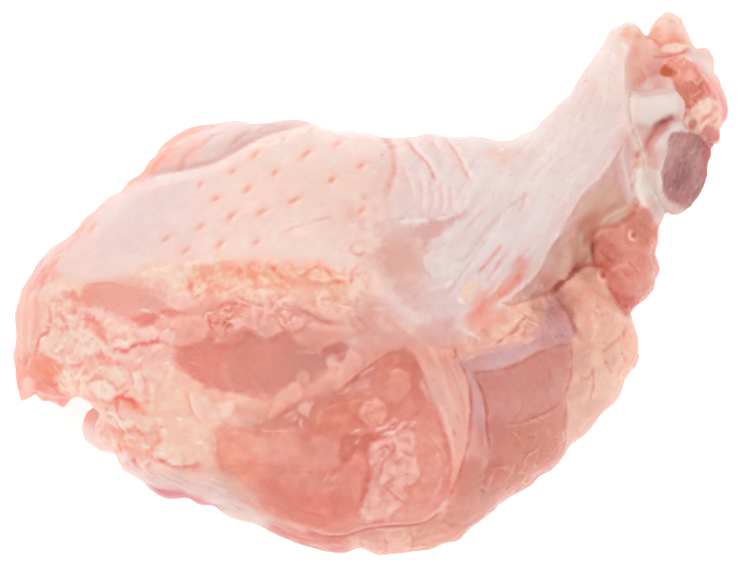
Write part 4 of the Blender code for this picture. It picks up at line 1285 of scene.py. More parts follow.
    # torn pale films in and beside the large opening
    torn_films = (
        ((232, 161, 148), 0.6, 0.06, 0.3, (224, 362, 230, 362, 232, 374, 238, 388, 232, 388, 226, 376)),
        ((226, 154, 142), 0.6, 0.05, 0.2, (252, 372, 256, 374, 262, 384, 268, 394, 265, 396, 258, 386)),
        ((226, 170, 156), 0.7, 0.1, 0.3, (298, 378, 300, 370, 306, 369, 310, 376, 306, 382)),
        ((230, 178, 164), 0.9, 0.25, 0.3, (272, 416, 271, 409, 277, 398, 285, 388, 297, 381, 304, 388,
            300, 397, 288, 403, 279, 411)),
        ((228, 160, 146), 0.8, 0.05, 0.5, (304, 384, 320, 378, 334, 378, 336, 386, 322, 394, 306, 396)),
        ((230, 184, 170), 0.9, 0.25, 0.35, (328, 360, 332, 354, 342, 352, 354, 350, 362, 358, 358, 370,
            346, 382, 337, 388, 337, 376, 340, 366, 330, 365)),
        ((216, 136, 122), 0.9, -0.1, 0.35, (322, 350, 329, 343, 340, 340, 347, 344, 347, 352, 342, 360,
            334, 354, 326, 354)),
        ((236, 192, 178), 0.7, 0.1, 0.3, (276, 402, 280, 399, 286, 403, 281, 408)),
    )
    skin.areas(torn_films, ragged=0.3)
    film_edges = (
        (0.12, (236, 178, 164), 0.6, 0.05, (336, 366, 342, 372, 345, 380)),
        (0.14, (238, 190, 176), 0.6, 0.05, (300, 352, 308, 350, 316, 352)),
        (0.14, (240, 154, 132), 0.6, -0.05, (178, 364, 190, 371, 202, 378)),
        (0.12, (224, 120, 104), 0.6, -0.05, (330, 390, 333, 388)),
    )
    skin.lines(film_edges)


def paint_oval(skin):
    """The bare round muscle at the bottom, under a clear film."""
    bead = (361, 413, 363, 404, 369, 398, 378, 398, 385, 404, 386, 414, 380, 422, 370, 423)
    upper_zones = (
        ((233, 172, 156), 0.9, 0, 0.8, (240, 412, 262, 402, 290, 396, 320, 388, 345, 372, 368, 352,
            400, 342, 420, 350, 420, 390, 350, 430, 262, 430)),
        ((229, 168, 156), 0.85, 0, 0.8, (352, 356, 366, 346, 392, 336, 410, 344, 396, 349, 376, 358,
            356, 374)),
        ((236, 178, 158), 0.7, 0, 0.6, (240, 402, 262, 398, 276, 404, 268, 414, 246, 412)),
    )
    skin.areas(upper_zones, ragged=0.5)
    skin.area(OVAL, (230, 146, 130), 0.97, fade=0.5, ragged=0.3, gloss=0.25)
    # the clear gel at the top, darkest along its right edge
    gel = (
        262, 424, 282, 410, 305, 402, 330, 390, 352, 378, 380, 352, 408, 350, 419, 366, 419, 382, 412, 402,
        385, 430, 345, 434, 300, 428
    )
    skin.area(gel, (225, 144, 125), 0.95, fade=0.6, ragged=0.4)
    gel_zones = (
        ((220, 146, 133), 0.8, 0, 0.8, (285, 412, 305, 400, 332, 388, 352, 374, 372, 366, 372, 386,
            345, 396, 318, 404, 300, 420)),
        ((227, 141, 117), 0.85, 0, 0.7, (314, 424, 320, 408, 340, 402, 362, 400, 362, 420, 350, 430,
            330, 430)),
        ((220, 134, 117), 0.85, 0, 0.5, (384, 362, 396, 353, 408, 354, 410, 366, 394, 368)),
        ((222, 128, 108), 0.85, -0.08, 0.4, (411, 356, 417, 364, 420, 378, 418, 392, 412, 398, 411, 380)),
        ((226, 142, 128), 0.8, 0, 0.8, (398, 398, 418, 392, 434, 412, 436, 436, 420, 440, 404, 428)),
    )
    skin.areas(gel_zones, ragged=0.3)
    skin.mottle(gel, 2.2, (220, 132, 112), (233, 162, 146), 0.3, 0.06, 0.6, seed=78)
    # the left part: peach, with a paler film over it and salmon below
    film = (
        244, 431, 262, 429, 300, 428, 322, 432, 342, 441, 345, 452, 336, 464, 318, 471, 300, 472, 283, 467,
        266, 459, 254, 449, 246, 444
    )
    left_zones = (
        ((250, 178, 154), 0.97, 0, 0.9, (214, 440, 222, 426, 250, 426, 262, 450, 262, 478, 244, 480,
            226, 462)),
        ((240, 158, 134), 0.8, 0, 1.0, (236, 452, 256, 456, 276, 470, 284, 480, 262, 484, 240, 474)),
        ((227, 138, 122), 0.9, 0, 1.2, (252, 480, 284, 478, 330, 480, 352, 486, 358, 508, 330, 522,
            290, 514, 262, 500)),
        ((232, 126, 110), 0.7, 0, 0.9, (300, 498, 325, 492, 330, 510, 318, 520, 302, 514)),
    )
    skin.areas(left_zones, ragged=0.8)
    skin.area(film, (233, 164, 149), 0.85, 0.06, fade=0.35, slope=0.8, ragged=0.5, gloss=0.2)
    film_zones = (
        ((238, 172, 156), 0.75, 0, 0.9, (258, 438, 290, 436, 300, 448, 290, 460, 268, 452)),
        ((244, 180, 161), 0.85, 0, 0.6, (232, 430, 252, 430, 268, 436, 270, 448, 256, 450, 242, 444)),
        ((226, 152, 140), 0.7, 0, 0.8, (296, 430, 322, 436, 340, 444, 336, 458, 316, 452, 298, 442)),
        ((229, 158, 145), 0.75, 0, 0.6, (290, 468, 325, 470, 345, 468, 350, 480, 330, 486, 298, 484)),
        ((228, 188, 173), 0.85, 0, 0.9, (206, 462, 226, 466, 244, 482, 262, 500, 244, 496, 222, 482)),
        ((222, 136, 120), 0.7, -0.05, 0.3, (300, 433, 312, 430, 314, 438, 306, 440)),
    )
    skin.areas(film_zones, ragged=0.5)
    border = (214, 456, 232, 476, 256, 492, 290, 508, 330, 520)
    film_foot = (214, 446, 236, 456, 262, 478, 320, 496, 330, 520, 290, 516, 250, 500, 222, 478)
    skin.grain(film_foot, border, 6, 0.6, (238, 174, 158), 0.5, 0.04, 0.7, seed=86)
    skin.mottle(OVAL, 2.6, (227, 136, 120), (236, 164, 150), 0.25, 0.08, 0.8, seed=45)
    # soft channels down the muscle
    channels = (
        ((216, 124, 108), 0.85, -0.12, 0.45, (344, 432, 360, 434, 378, 428, 384, 434, 372, 442, 366, 450,
            356, 446, 350, 456, 343, 462, 342, 446)),
        ((222, 130, 114), 0.85, -0.1, 0.3, (364, 448, 369, 452, 371, 470, 368, 488, 362, 502, 360, 490,
            365, 474)),
        ((230, 149, 134), 0.8, 0.08, 0.4, (351, 458, 358, 454, 363, 462, 363, 480, 358, 496, 350, 492,
            348, 474)),
    )
    skin.areas(channels, ragged=0.35)
    # the cracked patch, pale with a painted reflection of light on the wet muscle, and the smooth curved rim
    # right of it
    pale_sheen = (
        368, 452, 373, 441, 384, 436, 398, 431, 408, 427, 413, 438, 414, 452, 418, 464, 414, 478, 402, 484,
        402, 498, 386, 508, 366, 519, 361, 512, 362, 500, 369, 490, 372, 476, 370, 464
    )
    rim_zones = (
        ((234, 162, 146), 0.9, 0, 0.7, (412, 425, 434, 420, 446, 450, 446, 480, 430, 502, 400, 512,
            404, 492, 420, 476)),
        ((238, 178, 163), 0.75, 0.08, 0.35, (384, 515, 410, 509, 428, 498, 438, 482, 445, 484, 436, 502,
            416, 513, 394, 519)),
        ((231, 148, 138), 0.75, 0, 0.35, (441, 470, 448, 466, 449, 484, 440, 500, 428, 508, 436, 494)),
    )
    skin.areas(rim_zones, ragged=0.25)
    skin.area(pale_sheen, (236, 180, 168), 0.9, 0.1, fade=0.3, slope=0.6, ragged=0.45, gloss=0.2)
    patch_foot = (364, 498, 372, 490, 392, 490, 404, 496, 396, 504, 368, 516)
    skin.area(patch_foot, (238, 187, 175), 0.8, 0.04, fade=0.4)
    skin.mottle(pale_sheen, 0.9, (231, 160, 148), (243, 198, 188), 0.6, 0.12, 0.4, seed=89)
    skin.mottle(pale_sheen, 2.0, (233, 168, 156), (240, 190, 180), 0.5, 0.1, 0.4, seed=90)
    crack = (228, 144, 130)
    cracks = (
        (0.14, crack, 0.75, -0.1, (392, 437, 394, 445, 389, 452, 383, 459, 381, 466)),
        (0.12, crack, 0.7, -0.1, (400, 446, 406, 450, 413, 453), (386, 480, 394, 475, 402, 471, 410, 470),
            (383, 481, 390, 488, 398, 495, 404, 499)),
        (0.12, crack, 0.7, -0.08, (368, 453, 373, 456), (376, 448, 382, 444, 390, 442)),
        (0.12, crack, 0.6, -0.08, (382, 467, 379, 473), (406, 480, 410, 486, 408, 492)),
        (0.1, (216, 128, 114), 0.7, -0.08, (410, 417, 414, 413, 418, 408)),
        (0.12, (230, 120, 106), 0.6, -0.05, (294, 470, 302, 468, 314, 469)),
        (0.12, (228, 124, 106), 0.6, -0.05, (332, 470, 338, 466, 342, 462)),
        (0.1, (224, 118, 104), 0.6, -0.05, (376, 361, 379, 359)),
    )
    skin.lines(cracks, broken=0.35)
    gel_edges = (
        (0.14, (214, 126, 110), 0.65, -0.1, (336, 391, 346, 384, 358, 374, 370, 365, 383, 356, 394, 351,
            404, 351)),
        (0.16, (240, 188, 172), 0.6, 0.08, (334, 388, 346, 379, 358, 370, 370, 361, 382, 352)),
        (0.12, (240, 172, 148), 0.6, 0.06, (319, 424, 321, 411, 330, 405, 345, 401, 362, 398)),
        (0.1, (250, 208, 190), 0.7, 0.08, (216, 432, 218, 440, 218, 449)),
        (0.12, (246, 180, 158), 0.6, 0.06, (220, 437, 224, 429, 232, 424, 246, 422)),
        (0.1, (246, 196, 178), 0.5, 0.06, (264, 428, 280, 428, 296, 427)),
        (0.14, (240, 186, 172), 0.6, 0.06, (420, 432, 432, 444, 439, 460, 440, 476, 434, 490)),
        (0.1, (240, 190, 176), 0.5, 0.05, (426, 428, 438, 442, 445, 458, 445, 476)),
        (0.12, (238, 182, 168), 0.5, 0.05, (366, 519, 384, 513, 404, 508, 420, 500)),
    )
    skin.lines(gel_edges)
    # a painted highlight along the lower rim
    rim_highlight = (330, 530, 345, 530, 357, 526, 371, 522, 390, 520, 408, 519, 424, 516, 436, 508, 445, 496)
    skin.line(rim_highlight, 0.14, (236, 186, 180), 0.8, 0.15, wander=0.06, broken=0.3)
    rim_shade = (330, 532, 345, 532, 357, 528, 371, 524, 390, 522, 408, 521, 425, 518, 438, 509)
    skin.line(rim_shade, 0.16, (218, 118, 110), 0.7, -0.12, wander=0.08, broken=0.3)
    skin.mottle(OVAL, 1.2, (224, 130, 114), (240, 172, 158), 0.22, 0.05, 0.8, seed=47)
    # small pale blobs on the muscle, with painted highlights and glints of light on and around them
    blobs = (
        ((235, 170, 151), 0.35, bead),
        ((230, 155, 140), 0.2, (387, 394, 388, 376, 393, 369, 404, 369, 410, 378, 409, 392, 400, 398,
            391, 399)),
        ((233, 182, 165), 0.1, (242, 418, 248, 414, 256, 414, 264, 418, 254, 421)),
        ((235, 186, 174), 0.2, (301, 405, 306, 400, 315, 401, 312, 408, 310, 415, 304, 411)),
        ((230, 170, 156), 0.15, (290, 417, 296, 411, 300, 416, 296, 420)),
        ((226, 156, 142), 0.1, (356, 382, 362, 378, 370, 380, 368, 388, 358, 388)),
    )
    skin.lobes(blobs, (218, 128, 110), 0.22, gloss=0.3)
    skin.mottle(bead, 0.8, (230, 142, 122), (244, 196, 180), 0.5, 0.12, 0.25, seed=88)
    # painted highlights on the tops of two blobs
    blob_highlights = (396, 369, 369, 400)
    skin.spots(blob_highlights, 0.4, 0.12, 10, (246, 204, 190), 0.6, 0.08)
    white = (243, 202, 194)
    # white streaks of painted glint
    white_glints = (
        (0.14, white, 0.8, 0.1, (377, 427, 383, 425, 388, 423)),
        (0.12, white, 0.8, 0.1, (381, 432, 389, 430, 396, 429), (398, 427, 402, 422, 405, 420)),
        (0.1, white, 0.7, 0.1, (390, 420, 394, 417, 397, 418)),
        (0.12, white, 0.8, 0.1, (352, 431, 356, 428, 361, 427), (356, 440, 360, 437)),
        (0.12, white, 0.7, 0.1, (288, 414, 292, 411, 296, 409)),
        (0.12, white, 0.7, 0.08, (303, 416, 302, 421, 304, 424)),
        (0.1, white, 0.6, 0.08, (340, 392, 346, 390, 350, 386)),
        (0.1, white, 0.5, 0.08, (360, 374, 366, 370, 374, 366)),
    )
    skin.lines(white_glints, wander=0.06, broken=0.2)
    # scattered painted glints
    beside_bead = (374, 418, 410, 414, 412, 432, 384, 436)
    skin.glints(beside_bead, 9, white, 0.4, 0.09, 30, 0.08, 81, 0.7)
    over_gel = (340, 382, 374, 372, 376, 390, 346, 394)
    skin.glints(over_gel, 7, (232, 176, 164), 0.45, 0.09, 30, 0.06, 82, 0.6)
    low_channel = (322, 476, 336, 472, 340, 486, 326, 488)
    skin.glints(low_channel, 5, (238, 184, 168), 0.4, 0.1, 30, 0.05, 84, 0.6)
    beside_patch = (412, 440, 424, 445, 426, 480, 410, 486)
    skin.glints(beside_patch, 8, (240, 186, 174), 0.35, 0.08, 75, 0.04, 85, 0.5)


def paint_right(skin):
    """Tendon band, outer muscle, its sheet of fascia and the fat over and beside it."""
    meeting = (
        376, 300, 395, 304, 425, 335, 450, 345, 440, 360, 414, 352, 395, 345, 360, 352, 345, 330, 350, 312
    )
    skin.area(meeting, (229, 180, 168), 0.9, fade=1.2, ragged=0.7)
    meeting_zones = (
        ((226, 160, 147), 0.75, 0, 1, (352, 316, 378, 316, 392, 330, 380, 340, 360, 334)),
        ((226, 158, 143), 0.75, 0, 0.8, (405, 326, 430, 330, 445, 340, 440, 352, 420, 346, 408, 338)),
        ((230, 190, 182), 0.7, 0, 0.8, (378, 296, 396, 302, 410, 318, 398, 324, 380, 312)),
    )
    skin.areas(meeting_zones, ragged=0.6)
    skin.grain(meeting, -50, 3.5, 0.9, (239, 206, 196), 0.45, 0.06, 1, seed=30)
    skin.mottle(meeting, 1.3, (223, 160, 146), (238, 202, 190), 0.35, 0.08, 1, seed=31)
    # fat over the sheet of fascia, with the brown line where it ends
    fat = (
        440, 354, 448, 336, 470, 322, 495, 312, 524, 298, 540, 288, 552, 292, 548, 316, 540, 333, 520, 341,
        490, 348, 460, 358
    )
    skin.area(fat, (235, 189, 172), 0.95, 0.1, fade=0.6, ragged=0.5)
    fat_zones = (
        ((233, 196, 187), 0.85, 0.1, 0.5, (456, 330, 462, 322, 474, 318, 482, 324, 476, 334, 462, 340)),
        ((236, 172, 153), 0.8, 0, 0.6, (478, 322, 496, 316, 512, 316, 506, 328, 490, 336, 478, 336)),
        ((238, 196, 178), 0.85, 0.1, 0.5, (488, 334, 500, 324, 512, 318, 524, 314, 522, 320, 512, 330,
            500, 338)),
        ((226, 168, 152), 0.85, 0, 0.6, (514, 328, 524, 320, 540, 300, 548, 300, 543, 318, 534, 334,
            520, 340)),
        ((216, 152, 135), 0.85, 0, 0.7, (528, 300, 534, 286, 552, 284, 554, 292, 546, 300, 532, 310)),
        ((232, 180, 160), 0.7, 0, 0.5, (446, 344, 462, 344, 486, 340, 480, 348, 456, 356)),
        ((242, 184, 162), 0.7, 0, 0.5, (498, 306, 520, 300, 528, 304, 516, 314, 500, 314)),
    )
    skin.areas(fat_zones, ragged=0.4)
    skin.creases(fat, 2.0, 0.16, (222, 150, 130), (243, 210, 194), 0.35, 0.12, 0.5, seed=41, turn=30,
        stretch=1.8)
    skin.mottle(fat, 1.0, (228, 168, 148), (243, 208, 192), 0.3, 0.08, 0.5, seed=42)
    fat_lines = (
        (0.14, (220, 140, 118), 0.75, -0.1, (524, 317, 518, 323, 512, 331, 503, 336, 494, 344)),
        (0.12, (230, 150, 128), 0.6, -0.06, (536, 290, 532, 304, 530, 316)),
        (0.12, (236, 110, 92), 0.6, -0.05, (480, 330, 485, 329)),
    )
    skin.lines(fat_lines)
    # the tendon band
    skin.area(TENDON, (232, 178, 164), 0.95, 0.2, fade=0.5, slope=0.9, gloss=0.3)
    tendon_zones = (
        ((229, 164, 149), 0.85, 0, 0.8, (410, 346, 440, 343, 456, 352, 462, 372, 448, 380, 436, 366,
            418, 362)),
        ((234, 184, 172), 0.85, 0, 0.7, (420, 366, 434, 368, 446, 384, 456, 410, 454, 436, 444, 420,
            434, 398, 424, 378)),
        ((228, 158, 144), 0.6, 0, 0.5, (452, 376, 462, 384, 466, 410, 464, 432, 458, 410, 456, 392)),
        ((226, 152, 138), 0.8, 0, 0.5, (452, 474, 462, 456, 466, 470, 460, 496, 450, 510, 446, 496)),
        ((234, 176, 160), 0.8, 0.05, 0.35, (446, 436, 456, 436, 460, 452, 454, 472, 450, 484, 449, 462)),
    )
    skin.areas(tendon_zones, ragged=0.35)
    tendon_way = (425, 345, 440, 375, 452, 410, 458, 445, 450, 490)
    skin.grain(TENDON, tendon_way, 7, 0.6, (242, 204, 192), 0.35, 0.04, 0.5, seed=82)
    tendon_lines = (
        (0.2, (222, 148, 138), 0.5, -0.15, (414, 356, 422, 376, 431, 400, 440, 426, 448, 448, 450, 474)),
        (0.16, (242, 200, 186), 0.5, 0.1, (440, 404, 447, 424, 452, 446, 451, 468, 449, 484)),
        (0.14, (218, 132, 112), 0.75, -0.12, (452, 345, 456, 357, 463, 370, 468, 386, 469, 408, 467, 430,
            463, 452, 457, 472, 449, 490)),
        (0.12, (232, 130, 112), 0.6, -0.05, (455, 412, 457, 420), (452, 428, 453, 434)),
    )
    skin.lines(tendon_lines, broken=0.35)
    tendon_specks = (451, 488, 447, 503, 453, 356)
    skin.spots(tendon_specks, 0.2, 0.12, 60, (214, 96, 80), 0.8)
    # the outer muscle under its thin, shiny film
    skin.area(OUTER_MUSCLE, (213, 145, 133), 0.97, fade=0.4, ragged=0.35, gloss=0.24)
    muscle_zones = (
        ((213, 146, 137), 0.8, 0, 1.0, (484, 374, 520, 366, 540, 360, 540, 400, 520, 412, 490, 415)),
        ((212, 141, 131), 0.8, 0, 0.5, (537, 351, 560, 348, 556, 372, 546, 372)),
        ((218, 158, 148), 0.8, 0, 0.5, (552, 372, 566, 360, 568, 372, 562, 396, 552, 402, 548, 388)),
        ((214, 140, 121), 0.9, 0, 0.9, (504, 428, 530, 420, 560, 410, 570, 440, 556, 470, 524, 496,
            500, 486, 492, 460)),
        ((212, 132, 112), 0.6, 0, 0.6, (486, 456, 500, 456, 506, 470, 494, 484, 478, 486)),
        ((218, 154, 140), 0.85, 0, 0.8, (478, 500, 506, 486, 534, 476, 528, 500, 500, 520, 480, 526)),
        ((216, 148, 131), 0.85, 0, 0.7, (448, 505, 464, 488, 482, 490, 484, 510, 470, 530, 452, 524)),
    )
    skin.areas(muscle_zones, ragged=0.35)
    skin.mottle(OUTER_MUSCLE, 2.8, (208, 134, 120), (221, 158, 147), 0.35, 0.08, 0.5, seed=98)
    muscle_way = (500, 370, 525, 400, 530, 440, 510, 490)
    skin.grain(OUTER_MUSCLE, muscle_way, 5, 0.5, (222, 162, 150), 0.22, 0.02, 0.5, seed=83)
    upper_folds = (508, 424, 560, 410, 562, 446, 520, 456, 506, 446)
    skin.creases(upper_folds, 1.0, 0.08, (204, 124, 104), (226, 166, 150), 0.4, 0.06, 0.6, seed=43,
        turn=-15, stretch=2)
    lower_folds = (478, 456, 552, 446, 540, 478, 500, 496, 476, 490)
    skin.creases(lower_folds, 1.5, 0.09, (206, 126, 106), (231, 178, 164), 0.5, 0.08, 0.6, seed=44, turn=30,
        stretch=1.6)
    muscle_lines = (
        (0.1, (200, 114, 96), 0.6, -0.08, (506, 421, 518, 420, 532, 415, 546, 409, 556, 402)),
        (0.08, (204, 120, 104), 0.5, -0.06, (548, 368, 546, 384, 543, 398, 536, 409, 526, 414), (521, 400,
            518, 410, 512, 416)),
        (0.1, (230, 176, 162), 0.5, 0.06, (506, 424, 520, 423, 534, 418, 548, 412)),
        (0.1, (230, 176, 162), 0.6, 0.06, (486, 484, 490, 474, 494, 468)),
        (0.1, (206, 118, 100), 0.5, -0.06, (490, 490, 498, 486, 508, 486)),
    )
    skin.lines(muscle_lines)
    skin.area(STRIP, (216, 148, 137), 0.6, fade=0.5, ragged=0.3)
    purple_strip = (469, 378, 475, 380, 481, 396, 484, 416, 484, 432, 477, 430, 472, 414, 470, 398)
    skin.area(purple_strip, (217, 165, 166), 0.85, fade=0.4)
    strip_lines = (
        (0.13, (200, 104, 94), 0.8, -0.12, (474, 377, 480, 389, 484, 404, 485, 424, 488, 446)),
        (0.14, (210, 122, 112), 0.5, -0.08, (469, 380, 470, 400, 470, 424, 467, 446)),
        (0.3, (214, 122, 122), 0.5, 0, (478, 418, 480, 434, 480, 446)),
    )
    skin.lines(strip_lines, broken=0.3)
    skin.area(FASCIA, (213, 160, 156), 0.92, 0.08, fade=0.5, slope=0.7, ragged=0.4, gloss=0.26)
    fascia_zones = (
        ((214, 170, 172), 0.85, 0, 0.6, (484, 352, 510, 346, 532, 344, 528, 352, 506, 362, 484, 366)),
        ((217, 166, 163), 0.8, 0.05, 0.5, (460, 358, 474, 356, 486, 362, 478, 370, 466, 370)),
        ((206, 152, 151), 0.9, 0, 0.5, (541, 320, 548, 304, 560, 310, 571, 326, 568, 336, 550, 340,
            538, 340, 528, 342)),
        ((203, 140, 138), 0.7, 0, 0.5, (542, 340, 560, 338, 572, 338, 560, 346, 545, 348)),
    )
    skin.areas(fascia_zones, ragged=0.35)
    skin.grain(FASCIA, 20, 3.5, 0.6, (222, 180, 182), 0.3, 0.04, 0.4, seed=85)
    fascia_specks = (555, 336, 560, 335, 567, 320)
    skin.spots(fascia_specks, 0.22, 0.12, 20, (204, 108, 106), 0.75)
    fascia_lines = (
        (0.12, (232, 192, 182), 0.5, 0.06, (464, 358, 480, 352, 498, 349, 519, 343, 536, 336)),
        (0.14, (202, 122, 108), 0.7, -0.1, (472, 372, 486, 370, 501, 368, 518, 362, 534, 353, 550, 347,
            572, 343)),
        (0.12, (226, 184, 178), 0.5, 0.06, (546, 304, 543, 314, 541, 328)),
    )
    skin.lines(fascia_lines, broken=0.35)
    muscle_foot = (464, 460, 476, 456, 482, 470, 474, 490, 462, 500, 455, 490)
    skin.area(muscle_foot, (208, 124, 106), 0.9, fade=0.8)
    # painted shade in the cleft between the fascia and the pad, darkest on its wall
    shaded_cleft = (553, 294, 560, 288, 572, 294, 584, 312, 590, 330, 584, 342, 574, 334, 566, 314, 558, 304)
    skin.area(shaded_cleft, (203, 136, 121), 0.9, -0.15, fade=0.55, ragged=0.3)
    cleft_wall_shade = (570, 300, 582, 312, 584, 332, 576, 334, 570, 318)
    skin.area(cleft_wall_shade, (200, 128, 114), 0.8, fade=0.5)
    pad_edge = (584, 300, 592, 312, 596, 332, 588, 346, 580, 340, 586, 322)
    skin.area(pad_edge, (222, 164, 145), 0.7, fade=0.8)
    cleft_line = (552, 294, 559, 302, 566, 312, 571, 322, 574, 334)
    skin.line(cleft_line, 0.2, (186, 116, 108), 0.7, -0.12, broken=0.3)
    # the pad of fat down the right side
    skin.area(PAD, (233, 187, 168), 0.95, fade=0.5, ragged=0.4)
    pad_zones = (
        ((231, 169, 149), 0.8, 0, 0.8, (566, 300, 580, 276, 600, 282, 610, 300, 606, 318, 590, 314)),
        ((234, 190, 171), 0.85, 0, 1.2, (590, 322, 612, 318, 626, 332, 620, 362, 606, 384, 596, 404,
            586, 400, 588, 360)),
        ((236, 177, 150), 0.75, 0, 0.7, (618, 326, 632, 326, 645, 340, 634, 362, 622, 384, 616, 378,
            622, 350)),
        ((225, 170, 154), 0.85, 0, 0.8, (570, 350, 584, 346, 584, 372, 582, 396, 572, 404, 564, 396,
            568, 370)),
        ((220, 170, 152), 0.85, 0, 0.8, (572, 404, 590, 398, 604, 404, 592, 430, 576, 446, 567, 436)),
        ((224, 170, 150), 0.8, 0, 0.6, (568, 436, 582, 432, 590, 440, 575, 465, 560, 470, 562, 450)),
    )
    skin.areas(pad_zones, ragged=0.6)
    skin.grain(PAD, 68, 3, 1.1, (228, 158, 136), 0.25, -0.04, 0.6, seed=47, thin=0.08)
    skin.grain(PAD, 30, 3.5, 1.4, (242, 206, 190), 0.35, 0.06, 0.6, seed=46)
    skin.mottle(PAD, 2.4, (230, 176, 156), (238, 200, 183), 0.35, 0.12, 0.6, seed=48)
    streak = (230, 146, 120)
    pad_lines = (
        (0.14, streak, 0.6, -0.08, (600, 352, 610, 344, 620, 336, 626, 328)),
        (0.14, streak, 0.75, -0.08, (603, 358, 605, 364, 608, 370)),
        (0.12, streak, 0.6, -0.06, (580, 378, 586, 378, 590, 372, 591, 366)),
        (0.12, streak, 0.65, -0.08, (591, 372, 592, 384, 589, 396, 588, 408)),
        (0.12, streak, 0.5, -0.06, (620, 366, 616, 376, 618, 384), (628, 322, 622, 336, 620, 350, 624, 360),
            (597, 294, 596, 304, 600, 316)),
        (0.14, (214, 128, 108), 0.6, -0.1, (570, 348, 569, 372, 563, 396, 564, 406, 562, 424, 564, 440,
            556, 458)),
    )
    skin.lines(pad_lines)
    pad_specks = (620, 353, 576, 430, 595, 313, 604, 362)
    skin.spots(pad_specks, 0.14, 0.1, 0, (230, 106, 88), 0.85)


def paint_below(skin):
    """The underside's edge, below the round muscle."""
    white = (
        105, 456, 160, 468, 200, 474, 228, 478, 258, 505, 285, 522, 280, 550, 250, 540, 215, 522, 185, 515,
        140, 500
    )
    skin.area(white, (228, 200, 194), 0.9, fade=0.9, ragged=0.5)
    way = (130, 462, 200, 486, 270, 524, 340, 548)
    skin.grain(white, way, 7, 0.8, (236, 212, 208), 0.45, 0.06, 0.8, seed=34)
    skin.grain(white, way, 6, 0.6, (222, 172, 166), 0.3, -0.04, 0.8, seed=35, thin=0.12)
    under_zones = (
        ((240, 206, 200), 0.8, 0, 0.8, (105, 452, 125, 462, 150, 470, 140, 486, 115, 472)),
        ((222, 138, 140), 0.9, 0, 0.4, (152, 487, 168, 487, 190, 490, 210, 500, 224, 508, 205, 508,
            180, 502, 156, 498)),
        ((224, 138, 126), 0.95, 0, 0.7, (270, 520, 300, 524, 330, 532, 356, 530, 360, 570, 300, 575,
            268, 545)),
        ((228, 170, 160), 0.7, 0, 0.7, (300, 545, 322, 540, 352, 545, 352, 565, 310, 565)),
    )
    skin.areas(under_zones, ragged=0.4)
    streaked = (270, 520, 350, 530, 350, 560, 280, 550)
    skin.grain(streaked, way, 5, 0.5, (236, 172, 164), 0.5, 0.06, 0.5, seed=100)
    low = (350, 532, 400, 523, 440, 510, 458, 494, 480, 515, 500, 525, 460, 580, 350, 585)
    skin.area(low, (228, 166, 148), 0.95, fade=0.7, ragged=0.4)
    low_zones = (
        ((228, 170, 156), 0.8, 0, 0.7, (352, 532, 384, 526, 388, 545, 370, 560, 352, 560)),
        ((232, 178, 160), 0.8, 0.05, 0.6, (388, 530, 412, 524, 416, 545, 400, 558, 388, 550)),
        ((224, 154, 133), 0.85, 0, 0.8, (412, 524, 440, 516, 470, 520, 462, 545, 425, 560, 412, 548)),
        ((215, 146, 130), 0.85, 0, 0.5, (444, 514, 452, 506, 468, 506, 480, 514, 470, 524, 450, 522)),
    )
    skin.areas(low_zones, ragged=0.5)
    skin.mottle(low, 1.3, (222, 146, 128), (238, 190, 174), 0.4, 0.12, 0.5, seed=101)
    red = (216, 116, 108)
    under_lines = (
        (0.25, (216, 112, 122), 0.8, -0.1, (152, 488, 168, 489, 186, 492, 200, 498, 216, 506)),
        (0.12, (222, 158, 176), 0.6, 0, (150, 484, 168, 486, 186, 488, 200, 494)),
        (0.2, red, 0.75, -0.15, (280, 530, 300, 540, 322, 546, 345, 546)),
        (0.14, red, 0.75, -0.12, (274, 524, 296, 534, 318, 538, 340, 538)),
        (0.2, red, 0.75, -0.12, (310, 528, 326, 533, 345, 533)),
        (0.12, (224, 134, 118), 0.6, -0.1, (360, 534, 362, 544, 358, 556)),
        (0.12, (228, 140, 122), 0.6, -0.1, (384, 532, 386, 544, 382, 554), (410, 528, 413, 540, 408, 552)),
        (0.12, (222, 136, 118), 0.6, -0.1, (442, 516, 450, 522, 466, 522, 476, 518)),
        (0.1, (240, 196, 194), 0.7, 0.1, (290, 536, 306, 546), (312, 541, 330, 548)),
        (0.12, (240, 196, 194), 0.7, 0.1, (374, 524, 388, 526, 402, 524)),
    )
    skin.lines(under_lines, broken=0.35)


